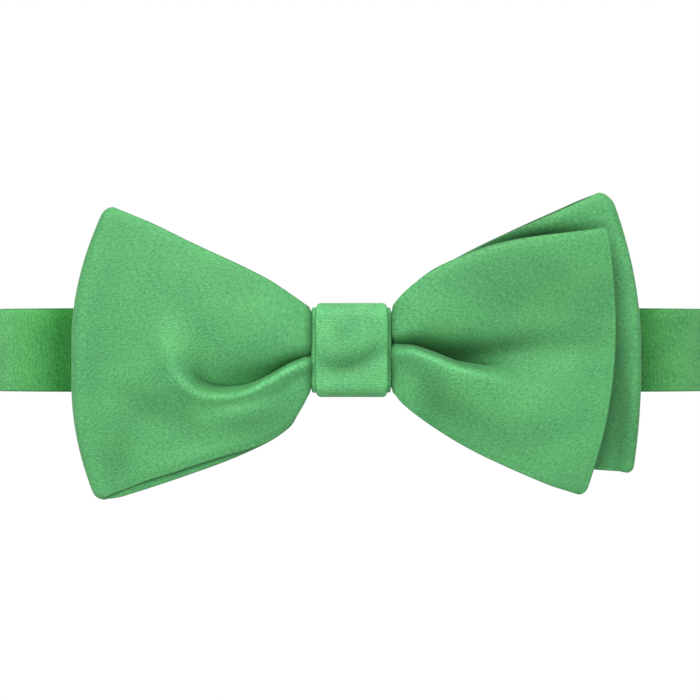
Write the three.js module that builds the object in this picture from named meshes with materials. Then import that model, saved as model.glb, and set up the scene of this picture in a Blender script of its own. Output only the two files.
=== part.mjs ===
// A self-tie bow tie in green satin: a neckband, a knot of two plies, and a folded loop and a flat end on
// each side of it. Millimetres. The origin is the middle of the neck opening at half the band's height,
// +X is the wearer's left, +Z is up, and the bow is at the front, towards -Y.
import * as THREE from 'three';

// Cloth walls and the play between pieces that touch.
const WING_CLOTH = 1.2;
const KNOT_CLOTH = 1.0;
const BAND_CLOTH = 1.5;
const PLAY = 0.3;

// The neckband's plan is two half ovals: a flat front that runs on level behind the wings, and a rounder
// back. Its girth is that of a 17 inch collar.
const BAND = {
  halfWidth: 82,
  frontReach: 44,
  backReach: 54,
  frontPower: 3,
  backPower: 2.1,
  halfHeight: 9,
  waist: 6.4,
  waistEnd: 9,
  fullFrom: 20,
  edgeRound: 0.35,
  steps: 96,
};

// The band's middle lies this far behind the knot's centre, which is the zero of every depth below.
const BAND_BEHIND = 5;
const KNOT_Y = -(BAND.frontReach + BAND_BEHIND);

// The knot: two rings round the waist of the bow, seen from the side as rounded oblongs.
const KNOT = {
  halfHeight: 9.66,
  halfDepth: 8.35,
  corner: 2.6,
  left: -7.4,
  right: 7.4,
  pull: 1.2,
  crown: 0.5,
};
const INNER_KNOT = {
  halfHeight: KNOT.halfHeight - KNOT_CLOTH - PLAY,
  halfDepth: KNOT.halfDepth - KNOT_CLOTH - PLAY,
  corner: 1.4,
  left: -8.5,
  right: 8.4,
  pull: 0.6,
  crown: 0,
};

// The wings start just beside the middle of the knot, where the two sides of a ply meet.
const START = PLAY / 2;
// A wing's rows of cloth are drawn to the crease, at this share of the way up the ply.
const CREASE_SHARE = 0.45;
// The power of the curve by which a wing's outer edge draws in above and below its widest stretch.
const EDGE_POWER = 1.9;
// The power of the fall of a ply from its crown to its top and bottom edges.
const FALL_POWER = 2.2;
// The longest step between two lines of a wing.
const LINE_STEP = 4.2;
// The width of the steep side of the crease, under the hollow.
const CREASE_WALL = 2.6;

// The folded wing in front. A row for each section out from the knot: heights of the edges, depth of the
// crown, how far the top and bottom edges fall behind the crown, then the crease: its height, how deep
// the hollow over it is and how far up it opens, and how far the roll under it stands out.
const FRONT_LOOP = [
  { out: 0, top: 6.5, bottom: -6.5, crown: 4.6, topFall: 0, bottomFall: 0, crease: -0.6, hollow: 1.2, open: 2.4, roll: 0.3 },
  { out: 7.6, top: 6.8, bottom: -6.8, crown: 4.6, topFall: 0, bottomFall: 0, crease: -0.6, hollow: 1.4, open: 2.4, roll: 0.4 },
  { out: 8.7, top: 7.0, bottom: -7.0, crown: 4.9, topFall: 0, bottomFall: 0.2, crease: -0.9, hollow: 1.6, open: 2.4, roll: 0.5 },
  { out: 9.8, top: 9.3, bottom: -10.6, crown: 6.3, topFall: 0.6, bottomFall: 1.2, crease: -1.4, hollow: 2.4, open: 2.7, roll: 0.7 },
  { out: 13, top: 11.8, bottom: -16.0, crown: 8.8, topFall: 1.6, bottomFall: 3.4, crease: -2.8, hollow: 4.0, open: 3.6, roll: 0.9 },
  { out: 17, top: 14.4, bottom: -19.0, crown: 10.0, topFall: 2.0, bottomFall: 3.8, crease: -5.0, hollow: 4.6, open: 4.8, roll: 1.0 },
  { out: 22, top: 17.0, bottom: -20.9, crown: 10.7, topFall: 2.1, bottomFall: 3.2, crease: -7.0, hollow: 4.2, open: 6.2, roll: 1.0 },
  { out: 29, top: 19.9, bottom: -22.8, crown: 11.0, topFall: 2.0, bottomFall: 2.4, crease: -7.4, hollow: 2.6, open: 7.6, roll: 0.8 },
  { out: 37, top: 23.2, bottom: -25.0, crown: 10.7, topFall: 1.8, bottomFall: 2.0, crease: -5.0, hollow: 0.4, open: 8.0, roll: 0.3 },
  { out: 46, top: 26.6, bottom: -27.4, crown: 9.7, topFall: 1.5, bottomFall: 1.8, crease: -2.6, hollow: 0, open: 8.0, roll: 0 },
  { out: 53, top: 28.6, bottom: -29.5, crown: 8.6, topFall: 1.1, bottomFall: 1.5, crease: -1.0, hollow: 0, open: 8.0, roll: 0 },
  { out: 58.9, top: 30.0, bottom: -31.1, crown: 7.5, topFall: 0.6, bottomFall: 0.8, crease: -0.5, hollow: 0, open: 8.0, roll: 0 },
];
const FRONT_LOOP_BACK = [
  { out: 0, top: 6.5, bottom: -6.5, crown: 1.35, topFall: 0, bottomFall: 0, crease: 0, hollow: 0, open: 1, roll: 0 },
  { out: 8.7, top: 7.0, bottom: -7.0, crown: 1.4, topFall: 0, bottomFall: 0, crease: 0, hollow: 0, open: 1, roll: 0 },
  { out: 9.8, top: 9.2, bottom: -10.6, crown: 1.8, topFall: 0, bottomFall: 0, crease: 0, hollow: 0, open: 1, roll: 0 },
  { out: 13, top: 11.7, bottom: -16.2, crown: 2.3, topFall: 0.2, bottomFall: 0.3, crease: 0, hollow: 0, open: 1, roll: 0 },
  { out: 22, top: 16.9, bottom: -21.4, crown: 2.7, topFall: 0.2, bottomFall: -0.6, crease: 0, hollow: 0, open: 1, roll: 0 },
  { out: 37, top: 23.1, bottom: -26.5, crown: 2.7, topFall: 0, bottomFall: -1.0, crease: 0, hollow: 0, open: 1, roll: 0 },
  { out: 53, top: 28.6, bottom: -30.7, crown: 3.0, topFall: 0, bottomFall: -0.8, crease: 0, hollow: 0, open: 1, roll: 0 },
  { out: 58.9, top: 30.0, bottom: -31.5, crown: 3.3, topFall: 0, bottomFall: -0.4, crease: 0, hollow: 0, open: 1, roll: 0 },
];

// The flat end in front, with the same columns.
const FRONT_END = [
  { out: 0, top: 6.4, bottom: -6.4, crown: 3.9, topFall: 0, bottomFall: 0, crease: 1.9, hollow: 1.6, open: 2.4, roll: 0.7 },
  { out: 7.6, top: 6.7, bottom: -6.7, crown: 3.9, topFall: 0, bottomFall: 0, crease: 1.9, hollow: 1.7, open: 2.4, roll: 0.8 },
  { out: 8.7, top: 7.0, bottom: -7.0, crown: 4.3, topFall: 0.2, bottomFall: 0.2, crease: 1.8, hollow: 2.0, open: 2.4, roll: 0.8 },
  { out: 9.8, top: 10.3, bottom: -10.6, crown: 6.0, topFall: 0.8, bottomFall: 1.0, crease: 1.6, hollow: 2.8, open: 2.6, roll: 0.9 },
  { out: 13, top: 13.8, bottom: -13.2, crown: 8.6, topFall: 1.8, bottomFall: 3.2, crease: 0.9, hollow: 4.2, open: 3.2, roll: 1.0 },
  { out: 17, top: 16.8, bottom: -16.0, crown: 10.0, topFall: 2.0, bottomFall: 4.2, crease: -0.5, hollow: 4.8, open: 3.8, roll: 1.1 },
  { out: 22, top: 19.2, bottom: -19.0, crown: 10.8, topFall: 1.9, bottomFall: 3.8, crease: -2.2, hollow: 4.5, open: 4.2, roll: 1.1 },
  { out: 29, top: 21.8, bottom: -22.3, crown: 11.1, topFall: 1.7, bottomFall: 2.6, crease: -3.9, hollow: 2.2, open: 4.8, roll: 0.7 },
  { out: 37, top: 23.5, bottom: -25.5, crown: 10.8, topFall: 1.5, bottomFall: 2.0, crease: -3.0, hollow: 1.1, open: 5.4, roll: 0.3 },
  { out: 46, top: 24.6, bottom: -28.4, crown: 9.8, topFall: 1.2, bottomFall: 1.6, crease: -2.4, hollow: 0.6, open: 5.6, roll: 0.1 },
  { out: 51, top: 25.1, bottom: -29.5, crown: 9.0, topFall: 1.0, bottomFall: 1.4, crease: -2.2, hollow: 0.2, open: 5.6, roll: 0 },
  { out: 55.6, top: 25.7, bottom: -30.4, crown: 8.1, topFall: 0.8, bottomFall: 1.2, crease: -2.0, hollow: 0, open: 5.6, roll: 0 },
];

// The folded wing behind, which shows above and outside the front end.
const BACK_LOOP = [
  { out: 0, top: 6.4, bottom: -6.4, crown: -0.3, topFall: 0, bottomFall: 0, crease: 0, hollow: 0, open: 1, roll: 0 },
  { out: 8.7, top: 7.0, bottom: -7.0, crown: -0.2, topFall: 0, bottomFall: 0, crease: 0, hollow: 0, open: 1, roll: 0 },
  { out: 9.8, top: 10.0, bottom: -9.4, crown: 0.1, topFall: 0, bottomFall: 0, crease: 0, hollow: 0, open: 1, roll: 0 },
  { out: 13, top: 13.1, bottom: -12.1, crown: 0.8, topFall: 0, bottomFall: 0.2, crease: 0, hollow: 0, open: 1, roll: 0 },
  { out: 17, top: 16.0, bottom: -14.6, crown: 1.7, topFall: 0, bottomFall: 0.4, crease: 0, hollow: 0, open: 1, roll: 0 },
  { out: 22, top: 19.1, bottom: -17.2, crown: 2.6, topFall: 0.1, bottomFall: 0.5, crease: 0, hollow: 0, open: 1, roll: 0 },
  { out: 29, top: 22.5, bottom: -20.3, crown: 3.4, topFall: 0.3, bottomFall: 0.6, crease: 0, hollow: 0, open: 1, roll: 0 },
  { out: 37, top: 25.6, bottom: -22.8, crown: 3.9, topFall: 0.5, bottomFall: 0.7, crease: 0, hollow: 0, open: 1, roll: 0 },
  { out: 46, top: 28.9, bottom: -24.7, crown: 3.9, topFall: 0.7, bottomFall: 0.7, crease: 0, hollow: 0, open: 1, roll: 0 },
  { out: 53, top: 31.0, bottom: -25.3, crown: 3.5, topFall: 0.7, bottomFall: 0.6, crease: 0, hollow: 0, open: 1, roll: 0 },
  { out: 61.3, top: 33.2, bottom: -25.8, crown: 2.8, topFall: 0.4, bottomFall: 0.4, crease: 0, hollow: 0, open: 1, roll: 0 },
];
const BACK_LOOP_BACK = [
  { out: 0, top: 6.4, bottom: -6.4, crown: -3.2, topFall: 0, bottomFall: 0, crease: 0, hollow: 0, open: 1, roll: 0 },
  { out: 8.7, top: 7.0, bottom: -7.0, crown: -3.2, topFall: 0, bottomFall: 0, crease: 0, hollow: 0, open: 1, roll: 0 },
  { out: 9.8, top: 10.1, bottom: -9.4, crown: -3.1, topFall: 0, bottomFall: 0, crease: 0, hollow: 0, open: 1, roll: 0 },
  { out: 13, top: 13.3, bottom: -12.1, crown: -3.1, topFall: -0.4, bottomFall: -0.4, crease: 0, hollow: 0, open: 1, roll: 0 },
  { out: 22, top: 19.3, bottom: -17.2, crown: -3.1, topFall: -0.8, bottomFall: -0.8, crease: 0, hollow: 0, open: 1, roll: 0 },
  { out: 37, top: 25.9, bottom: -22.8, crown: -2.9, topFall: -1.0, bottomFall: -1.0, crease: 0, hollow: 0, open: 1, roll: 0 },
  { out: 53, top: 31.2, bottom: -25.3, crown: -2.2, topFall: -0.8, bottomFall: -0.8, crease: 0, hollow: 0, open: 1, roll: 0 },
  { out: 61.3, top: 33.2, bottom: -25.8, crown: -1.4, topFall: -0.4, bottomFall: -0.4, crease: 0, hollow: 0, open: 1, roll: 0 },
];

// The flat end behind, hidden by the front loop.
const BACK_END = [
  { out: 0, top: 6.4, bottom: -6.4, crown: -1.75, topFall: 0, bottomFall: 0, crease: 0, hollow: 1.0, open: 2.4, roll: 0.3 },
  { out: 8.7, top: 7.0, bottom: -7.0, crown: -1.7, topFall: 0, bottomFall: 0, crease: 0, hollow: 1.0, open: 2.4, roll: 0.3 },
  { out: 9.8, top: 8.4, bottom: -9.6, crown: -1.4, topFall: 0, bottomFall: 0.2, crease: -0.1, hollow: 1.1, open: 2.8, roll: 0.3 },
  { out: 13, top: 10.9, bottom: -13.6, crown: -0.8, topFall: 0.3, bottomFall: 0.6, crease: -0.4, hollow: 1.4, open: 3.4, roll: 0.4 },
  { out: 17, top: 13.2, bottom: -16.5, crown: -0.5, topFall: 0.6, bottomFall: 1.0, crease: -0.9, hollow: 1.5, open: 4.2, roll: 0.4 },
  { out: 22, top: 15.4, bottom: -18.6, crown: -0.5, topFall: 0.9, bottomFall: 1.2, crease: -1.5, hollow: 1.4, open: 5.0, roll: 0.3 },
  { out: 29, top: 18.2, bottom: -20.4, crown: -0.6, topFall: 1.1, bottomFall: 1.3, crease: -2.2, hollow: 0.9, open: 6.0, roll: 0.2 },
  { out: 37, top: 21.0, bottom: -22.0, crown: -1.0, topFall: 1.2, bottomFall: 1.3, crease: -2.0, hollow: 0.3, open: 6.0, roll: 0.1 },
  { out: 46, top: 23.6, bottom: -23.4, crown: -1.9, topFall: 1.0, bottomFall: 1.1, crease: -1.4, hollow: 0, open: 6.0, roll: 0 },
  { out: 53.6, top: 25.0, bottom: -24.2, crown: -2.9, topFall: 0.7, bottomFall: 0.8, crease: -1.0, hollow: 0, open: 6.0, roll: 0 },
];

// Soft dents (below zero) and swells in a ply: middle, half length and half width of each, its turn from
// level in degrees, and its depth.
const FRONT_LOOP_DENTS = [
  { x: -37, z: 0, long: 8, wide: 2.4, turn: 82, depth: 0.5 },
  { x: -24, z: -11.6, long: 10, wide: 1.7, turn: 8, depth: -0.7 },
  { x: -38, z: -13.6, long: 6, wide: 2.2, turn: -12, depth: -0.7 },
  { x: -36, z: -22.6, long: 12, wide: 2.2, turn: 12, depth: 0.5 },
  { x: -50, z: -24, long: 7, wide: 3.4, turn: 60, depth: -0.8 },
];
const FRONT_END_DENTS = [
  { x: 38, z: -8.5, long: 15, wide: 3.6, turn: -4, depth: 0.7 },
  { x: 26, z: -11, long: 9, wide: 3.2, turn: -24, depth: -0.8 },
];

// How a wing ends outside: its reach, the stretch of its edge that runs straight, how far the top and
// bottom of that edge draw in, the radius of its corners, and for a loop the depth of its fold.
const FRONT_LOOP_EDGE = {
  reach: 58.9, straightTop: 2, straightBottom: -8, topInset: 7, bottomInset: 5, topCorner: 1.8, bottomCorner: 2,
  turn: 2.4, foldDepth: 5.3,
};
const FRONT_END_EDGE = {
  reach: 55.6, straightTop: 4, straightBottom: 4, topInset: 1.7, bottomInset: 6.4, topCorner: 0.9, bottomCorner: 1.5,
};
const BACK_LOOP_EDGE = {
  reach: 61.3, straightTop: 1, straightBottom: -5, topInset: 5.8, bottomInset: 1.7, topCorner: 2.5, bottomCorner: 1,
  turn: 2.2, foldDepth: 0.7,
};
const BACK_END_EDGE = {
  reach: 53.6, straightTop: 4, straightBottom: 0, topInset: 1.8, bottomInset: 5, topCorner: 0.9, bottomCorner: 1.5,
};

const FRONT_LOOP_PLIES = { side: -1, edge: FRONT_LOOP_EDGE, front: FRONT_LOOP, back: FRONT_LOOP_BACK, dents: FRONT_LOOP_DENTS };
const FRONT_END_PLY = { side: 1, edge: FRONT_END_EDGE, front: FRONT_END, dents: FRONT_END_DENTS };
const BACK_LOOP_PLIES = { side: 1, edge: BACK_LOOP_EDGE, front: BACK_LOOP, back: BACK_LOOP_BACK, dents: [] };
const BACK_END_PLY = { side: -1, edge: BACK_END_EDGE, front: BACK_END, dents: [] };

const clamp = (value, low, high) => Math.min(high, Math.max(low, value));
const smooth = (share) => {
  const t = clamp(share, 0, 1);
  return t * t * (3 - 2 * t);
};

// One column of a table of sections at a distance out, on a smooth curve through the rows.
function read(rows, out, column) {
  let next = 1;
  while (next < rows.length - 1 && rows[next].out < out) next += 1;
  const from = rows[next - 1];
  const to = rows[next];
  const before = rows[Math.max(next - 2, 0)];
  const after = rows[Math.min(next + 1, rows.length - 1)];
  const span = to.out - from.out;
  const slope = (a, b) => (b[column] - a[column]) / (b.out - a.out);
  const t = clamp((out - from.out) / span, 0, 1);
  const leave = slope(before, to) * span;
  const arrive = slope(from, after) * span;
  return (
    (2 * t ** 3 - 3 * t ** 2 + 1) * from[column] +
    (t ** 3 - 2 * t ** 2 + t) * leave +
    (3 * t ** 2 - 2 * t ** 3) * to[column] +
    (t ** 3 - t ** 2) * arrive
  );
}

// Height of a ply's row of cloth, share 0 at the bottom edge and 1 at the top, rows drawn to the crease.
function rowHeight(rows, out, share) {
  const crease = read(rows, out, 'crease');
  const bottom = read(rows, out, 'bottom');
  const top = read(rows, out, 'top');
  if (share < CREASE_SHARE) return bottom + (crease - bottom) * (share / CREASE_SHARE);
  return crease + (top - crease) * ((share - CREASE_SHARE) / (1 - CREASE_SHARE));
}

// How far the outer edge lies inside its widest reach at a height, with its rounded corners.
function edgeInset(edge, rows, height) {
  const top = read(rows, edge.reach, 'top');
  const bottom = read(rows, edge.reach, 'bottom');
  const rise = Math.max(0, height - edge.straightTop) / (top - edge.straightTop);
  const drop = Math.max(0, edge.straightBottom - height) / (edge.straightBottom - bottom);
  const corner = (radius, room) => {
    const past = clamp(radius - room, 0, radius);
    return radius - Math.sqrt(radius ** 2 - past ** 2);
  };
  return (
    edge.topInset * rise ** EDGE_POWER +
    edge.bottomInset * drop ** EDGE_POWER +
    corner(edge.topCorner, top - height) +
    corner(edge.bottomCorner, height - bottom)
  );
}

// Depth of the soft dents and swells at a place.
function dentDepth(dents, x, z) {
  return dents.reduce((sum, dent) => {
    const turn = THREE.MathUtils.degToRad(dent.turn);
    const along = (x - dent.x) * Math.cos(turn) + (z - dent.z) * Math.sin(turn);
    const across = (z - dent.z) * Math.cos(turn) - (x - dent.x) * Math.sin(turn);
    return sum + dent.depth * Math.exp(-((along / dent.long) ** 2) - (across / dent.wide) ** 2);
  }, 0);
}

// Depth of a ply: its crown, the fall to its edges, and the crease with its hollow above and roll below.
function plyDepth(rows, out, height) {
  const top = read(rows, out, 'top');
  const bottom = read(rows, out, 'bottom');
  const place = (2 * (height - bottom)) / (top - bottom) - 1;
  const fall = read(rows, out, place > 0 ? 'topFall' : 'bottomFall') * Math.abs(place) ** FALL_POWER;
  const over = height - read(rows, out, 'crease');
  const hollow = read(rows, out, 'hollow');
  const roll = read(rows, out, 'roll');
  const open = read(rows, out, 'open');
  const wall = smooth(-over / CREASE_WALL);
  const past = Math.max(0, -over - CREASE_WALL) / open;
  const fold =
    over > 0 ? -hollow * Math.exp(-((over / open) ** 1.5)) : roll * wall * Math.exp(-(past ** 2)) - hollow * (1 - wall);
  return read(rows, out, 'crown') - fall + fold;
}

// A place on a wing. The strip runs out along the front ply, round the fold, and back along the back ply:
// front is 1 on the front ply, 0 at the middle of the fold and -1 on the back ply.
function wingPoint(wing, out, front, share) {
  const { side, edge } = wing;
  const part = (out - START) / (edge.reach - START);
  const face = (1 + front) / 2;
  const frontHeight = rowHeight(wing.front, out, share);
  const backHeight = wing.back ? rowHeight(wing.back, out, share) : frontHeight;
  const height = frontHeight * face + backHeight * (1 - face);
  const inset = edgeInset(edge, wing.front, rowHeight(wing.front, edge.reach, share));
  const x = side * (out - inset * part ** 3);
  const ply = front < 0 ? wing.back : wing.front;
  const dents = front > 0 ? dentDepth(wing.dents, x, height) : 0;
  const flat = plyDepth(ply, out, height) + dents;
  const depth = wing.back ? edge.foldDepth + Math.abs(front) * (flat - edge.foldDepth) : flat;
  return new THREE.Vector3(x, KNOT_Y - depth, height);
}

// Shares from 0 to 1 that lie closer together towards both ends.
function shares(count) {
  const draw = 0.75 / (2 * Math.PI);
  return Array.from({ length: count + 1 }, (_, i) => i / count - draw * Math.sin((2 * Math.PI * i) / count));
}

// Rows of a ply, closer together at its edges and at its crease.
function rowShares(count) {
  const lower = Math.round(count * CREASE_SHARE);
  const below = shares(lower).map((share) => share * CREASE_SHARE);
  const above = shares(count - lower).map((share) => CREASE_SHARE + share * (1 - CREASE_SHARE));
  return [...below, ...above.slice(1)];
}

// A cloth wall round a grid of places, as one closed body. With closed, the last line meets the first.
function clothWall(grid, thick, closed = false) {
  const lines = grid.length;
  const width = grid[0].length;
  const line = (i) => grid[closed ? (i + lines) % lines : clamp(i, 0, lines - 1)];
  const normalAt = (i, j) => {
    const along = new THREE.Vector3().subVectors(line(i + 1)[j], line(i - 1)[j]);
    const across = new THREE.Vector3().subVectors(grid[i][Math.min(j + 1, width - 1)], grid[i][Math.max(j - 1, 0)]);
    return along.cross(across).normalize();
  };
  const skin = (offset) =>
    grid.flatMap((row, i) => row.map((place, j) => place.clone().addScaledVector(normalAt(i, j), offset)));
  const places = [...skin(thick / 2), ...skin(-thick / 2)];
  const outer = (i, j) => ((i + lines) % lines) * width + j;
  const inner = (i, j) => lines * width + outer(i, j);
  const faces = [];
  const quad = (a, b, c, d) => faces.push(a, b, c, a, c, d);
  const last = closed ? lines : lines - 1;
  for (let i = 0; i < last; i += 1) {
    for (let j = 0; j < width - 1; j += 1) {
      quad(outer(i, j), outer(i + 1, j), outer(i + 1, j + 1), outer(i, j + 1));
      quad(inner(i, j), inner(i, j + 1), inner(i + 1, j + 1), inner(i + 1, j));
    }
    quad(outer(i + 1, 0), outer(i, 0), inner(i, 0), inner(i + 1, 0));
    quad(outer(i, width - 1), outer(i + 1, width - 1), inner(i + 1, width - 1), inner(i, width - 1));
  }
  if (!closed) {
    for (let j = 0; j < width - 1; j += 1) {
      quad(outer(0, j), outer(0, j + 1), inner(0, j + 1), inner(0, j));
      quad(outer(lines - 1, j + 1), outer(lines - 1, j), inner(lines - 1, j), inner(lines - 1, j + 1));
    }
  }
  return facesOut(places, faces);
}

// A geometry of the places and faces, its faces turned so that they point out of the body.
function facesOut(places, faces) {
  let volume = 0;
  for (let f = 0; f < faces.length; f += 3) {
    const [a, b, c] = faces.slice(f, f + 3).map((index) => places[index]);
    volume += a.dot(new THREE.Vector3().crossVectors(b, c));
  }
  const geometry = new THREE.BufferGeometry();
  geometry.setAttribute('position', new THREE.Float32BufferAttribute(places.flatMap((place) => place.toArray()), 3));
  geometry.setIndex(volume > 0 ? faces : faces.reverse());
  geometry.computeVertexNormals();
  return geometry;
}

// The lines of a ply: one at each section of its table and evenly between them, as far as it lies flat.
function lineOuts(rows, flatEnd) {
  const outs = [START];
  rows.slice(1).forEach((row) => {
    const from = outs.at(-1);
    const to = Math.min(row.out, flatEnd);
    const steps = Math.max(1, Math.round((to - from) / LINE_STEP));
    if (to > from) for (let i = 1; i <= steps; i += 1) outs.push(from + ((to - from) * i) / steps);
  });
  return outs;
}

// A loop: out along the front ply, round the fold in an arc, and back along the back ply.
function loopWing(wing, rows, turnSteps) {
  const { reach, turn } = wing.edge;
  const outs = lineOuts(wing.front, reach - turn);
  const strip = [
    ...outs.map((out) => ({ out, front: 1 })),
    ...Array.from({ length: turnSteps - 1 }, (_, i) => {
      const angle = (Math.PI * (i + 1)) / turnSteps;
      return { out: reach - turn + turn * Math.sin(angle), front: Math.cos(angle) };
    }),
    ...outs.toReversed().map((out) => ({ out, front: -1 })),
  ];
  return clothWall(
    strip.map(({ out, front }) => rows.map((share) => wingPoint(wing, out, front, share))),
    WING_CLOTH,
  );
}

// A flat end: a single ply.
function flatEnd(wing, rows) {
  return clothWall(
    lineOuts(wing.front, wing.edge.reach).map((out) => rows.map((share) => wingPoint(wing, out, 1, share))),
    WING_CLOTH,
  );
}

// The oblong that a ring of the knot follows, seen from the side, as places (depth, height) round it.
function knotSection(knot, arcSteps, sideSteps) {
  const depth = knot.halfDepth - KNOT_CLOTH / 2;
  const height = knot.halfHeight - KNOT_CLOTH / 2;
  const { corner } = knot;
  const places = [];
  const run = (fromDepth, fromHeight, toDepth, toHeight) => {
    for (let i = 0; i < sideSteps; i += 1) {
      const share = i / sideSteps;
      places.push([fromDepth + (toDepth - fromDepth) * share, fromHeight + (toHeight - fromHeight) * share]);
    }
  };
  const arc = (middleDepth, middleHeight, startAngle) => {
    for (let i = 0; i < arcSteps; i += 1) {
      const angle = startAngle + (Math.PI / 2) * (i / arcSteps);
      places.push([middleDepth + corner * Math.cos(angle), middleHeight + corner * Math.sin(angle)]);
    }
  };
  run(depth, corner - height, depth, height - corner);
  arc(depth - corner, height - corner, 0);
  run(depth - corner, height, corner - depth, height);
  arc(corner - depth, height - corner, Math.PI / 2);
  run(-depth, height - corner, -depth, corner - height);
  arc(corner - depth, corner - height, Math.PI);
  run(corner - depth, -height, depth - corner, -height);
  arc(depth - corner, corner - height, (3 * Math.PI) / 2);
  return places;
}

// One ply of the knot: a ring round the waist, its edges pulled in over the top and bottom, its front
// swelling a little.
function knotRing(knot, widthSteps) {
  const grid = knotSection(knot, 4, 4).map(([depth, height]) => {
    const pull = knot.pull * Math.abs(height / knot.halfHeight) ** 4;
    return Array.from({ length: widthSteps + 1 }, (_, i) => {
      const share = i / widthSteps;
      const x = knot.left + pull + (knot.right - knot.left - 2 * pull) * share;
      const swell = depth > 0 ? knot.crown * (1 - (2 * share - 1) ** 2) * (1 - (height / knot.halfHeight) ** 2) : 0;
      return new THREE.Vector3(x, KNOT_Y - depth - swell, height);
    });
  });
  return clothWall(grid, KNOT_CLOTH, true);
}

// The neckband: a closed strap round the neck, narrowed where the knot grips it.
function neckband() {
  const edge = BAND.edgeRound;
  const grid = Array.from({ length: BAND.steps }, (_, i) => {
    const angle = (2 * Math.PI * i) / BAND.steps - Math.PI / 2;
    const front = Math.sin(angle) < 0;
    const power = front ? BAND.frontPower : BAND.backPower;
    const sideways = Math.abs(Math.cos(angle) / BAND.halfWidth) ** power;
    const lengthways = Math.abs(Math.sin(angle) / (front ? BAND.frontReach : BAND.backReach)) ** power;
    const radius = (sideways + lengthways) ** (-1 / power);
    const x = radius * Math.cos(angle);
    const y = radius * Math.sin(angle);
    const wide = front ? smooth((Math.abs(x) - BAND.waistEnd) / (BAND.fullFrom - BAND.waistEnd)) : 1;
    const half = BAND.waist + (BAND.halfHeight - BAND.waist) * wide;
    return [-half, edge - half, half - edge, half].map((z) => new THREE.Vector3(x, y, z));
  });
  return clothWall(grid, BAND_CLOTH, true);
}

const satin = (color, roughness) => new THREE.MeshStandardMaterial({ color, roughness, metalness: 0 });
const wingSatin = satin(0x66b270, 0.42);
const knotSatin = satin(0x6fbc7c, 0.4);
const bandSatin = satin(0x60ae68, 0.45);

const bowTie = new THREE.Group();
function addPiece(name, geometry, material) {
  const mesh = new THREE.Mesh(geometry, material.clone());
  mesh.name = name;
  bowTie.add(mesh);
}

addPiece('neckband', neckband(), bandSatin);
addPiece('knot_outer_ply', knotRing(KNOT, 6), knotSatin);
addPiece('knot_inner_ply', knotRing(INNER_KNOT, 4), knotSatin);
addPiece('front_loop', loopWing(FRONT_LOOP_PLIES, rowShares(18), 6), wingSatin);
addPiece('front_end', flatEnd(FRONT_END_PLY, rowShares(18)), wingSatin);
addPiece('back_loop', loopWing(BACK_LOOP_PLIES, rowShares(12), 6), wingSatin);
addPiece('back_end', flatEnd(BACK_END_PLY, rowShares(12)), wingSatin);

export default bowTie;
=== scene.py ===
"""A self-tie bow tie in green satin, held up as a collar holds it.

Sizes are in millimetres until a mesh is made. Every place is out from the middle of the neck opening, with
+X to the wearer's left, +Z up, and the bow at the front, towards -Y. A depth is how far a place stands in
front of the knot's centre.
"""
import logging
import math
from dataclasses import dataclass
from enum import Enum

import bpy
import numpy as np
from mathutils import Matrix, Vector


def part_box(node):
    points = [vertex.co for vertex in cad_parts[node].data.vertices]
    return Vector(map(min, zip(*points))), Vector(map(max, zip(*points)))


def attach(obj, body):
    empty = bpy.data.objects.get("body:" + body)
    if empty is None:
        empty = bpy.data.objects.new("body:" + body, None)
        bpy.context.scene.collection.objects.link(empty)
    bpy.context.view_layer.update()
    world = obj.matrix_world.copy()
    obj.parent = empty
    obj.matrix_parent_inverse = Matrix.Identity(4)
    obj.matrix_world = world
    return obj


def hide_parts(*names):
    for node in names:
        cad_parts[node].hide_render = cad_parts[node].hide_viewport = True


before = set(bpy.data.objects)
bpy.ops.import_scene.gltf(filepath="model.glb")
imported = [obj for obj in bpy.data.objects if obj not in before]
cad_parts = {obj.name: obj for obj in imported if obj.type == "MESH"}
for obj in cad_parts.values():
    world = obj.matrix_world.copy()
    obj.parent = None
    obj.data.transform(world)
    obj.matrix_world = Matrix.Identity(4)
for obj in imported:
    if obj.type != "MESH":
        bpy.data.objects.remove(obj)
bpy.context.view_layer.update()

MM = 0.001

Grid = np.ndarray
Socket = bpy.types.NodeSocket
Colour = tuple[float, float, float]
Value = Socket | float | Colour
Stops = tuple[tuple[float, float], ...]

# Cloth walls and the pitch of the finest mesh.
WING_CLOTH = 1.2
KNOT_CLOTH = 1.0
BAND_CLOTH = 1.5
MESH_PITCH = 0.45
# Distances in from an edge at which a row of mesh follows the edge's rounding.
EDGE_ROWS = (0.0, 0.06, 0.16, 0.3, 0.5, 0.75)
# The rounding of a pressed edge, the share of the cloth's thickness that is left there, and how far in the
# cloth is thinner, on a wing or the band and on the knot.
RIM = 0.3
RIM_SHARE = 0.5
RIM_TAPER = 2.0
KNOT_TAPER = 0.7
# How far out from the middle of the knot the inner ply's edge strips start, and how soon they are full.
KNOT_STRIP = 7.2
KNOT_STRIP_EASE = 0.6
# The power by which the pull on a knot ply's edges keeps to its top and bottom, and the lines of mesh round
# each of its corners.
PULL_POWER = 10
CORNER_LINES = 9
# A wing's rows of cloth are drawn to the crease, at this share of the way up the ply.
CREASE_SHARE = 0.45
# The powers of the curves by which an outer edge draws in, a wing's lines come to follow that edge, a ply
# falls to its edges and a hollow rises to its brim.
EDGE_POWER = 1.9
EDGE_EASE = 3
FALL_POWER = 2.2
HOLLOW_POWER = 1.5
# Where a loop's plies are pressed together, how far apart their middles are, and how far up that reaches.
PRESSED_GAP = 1.0
PRESSED_REACH = 4.0
# How far down the back ply of a gaping loop the painted shade along its top edge reaches.
GAPE_REACH = 0.7
# How far round a place its surroundings are looked at for the painted shade of its folds: the width of the
# bell curve that weighs them, and where it is cut off, in widths.
FOLD_REACH = 3.4
BELL_CUT = 2.5
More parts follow.
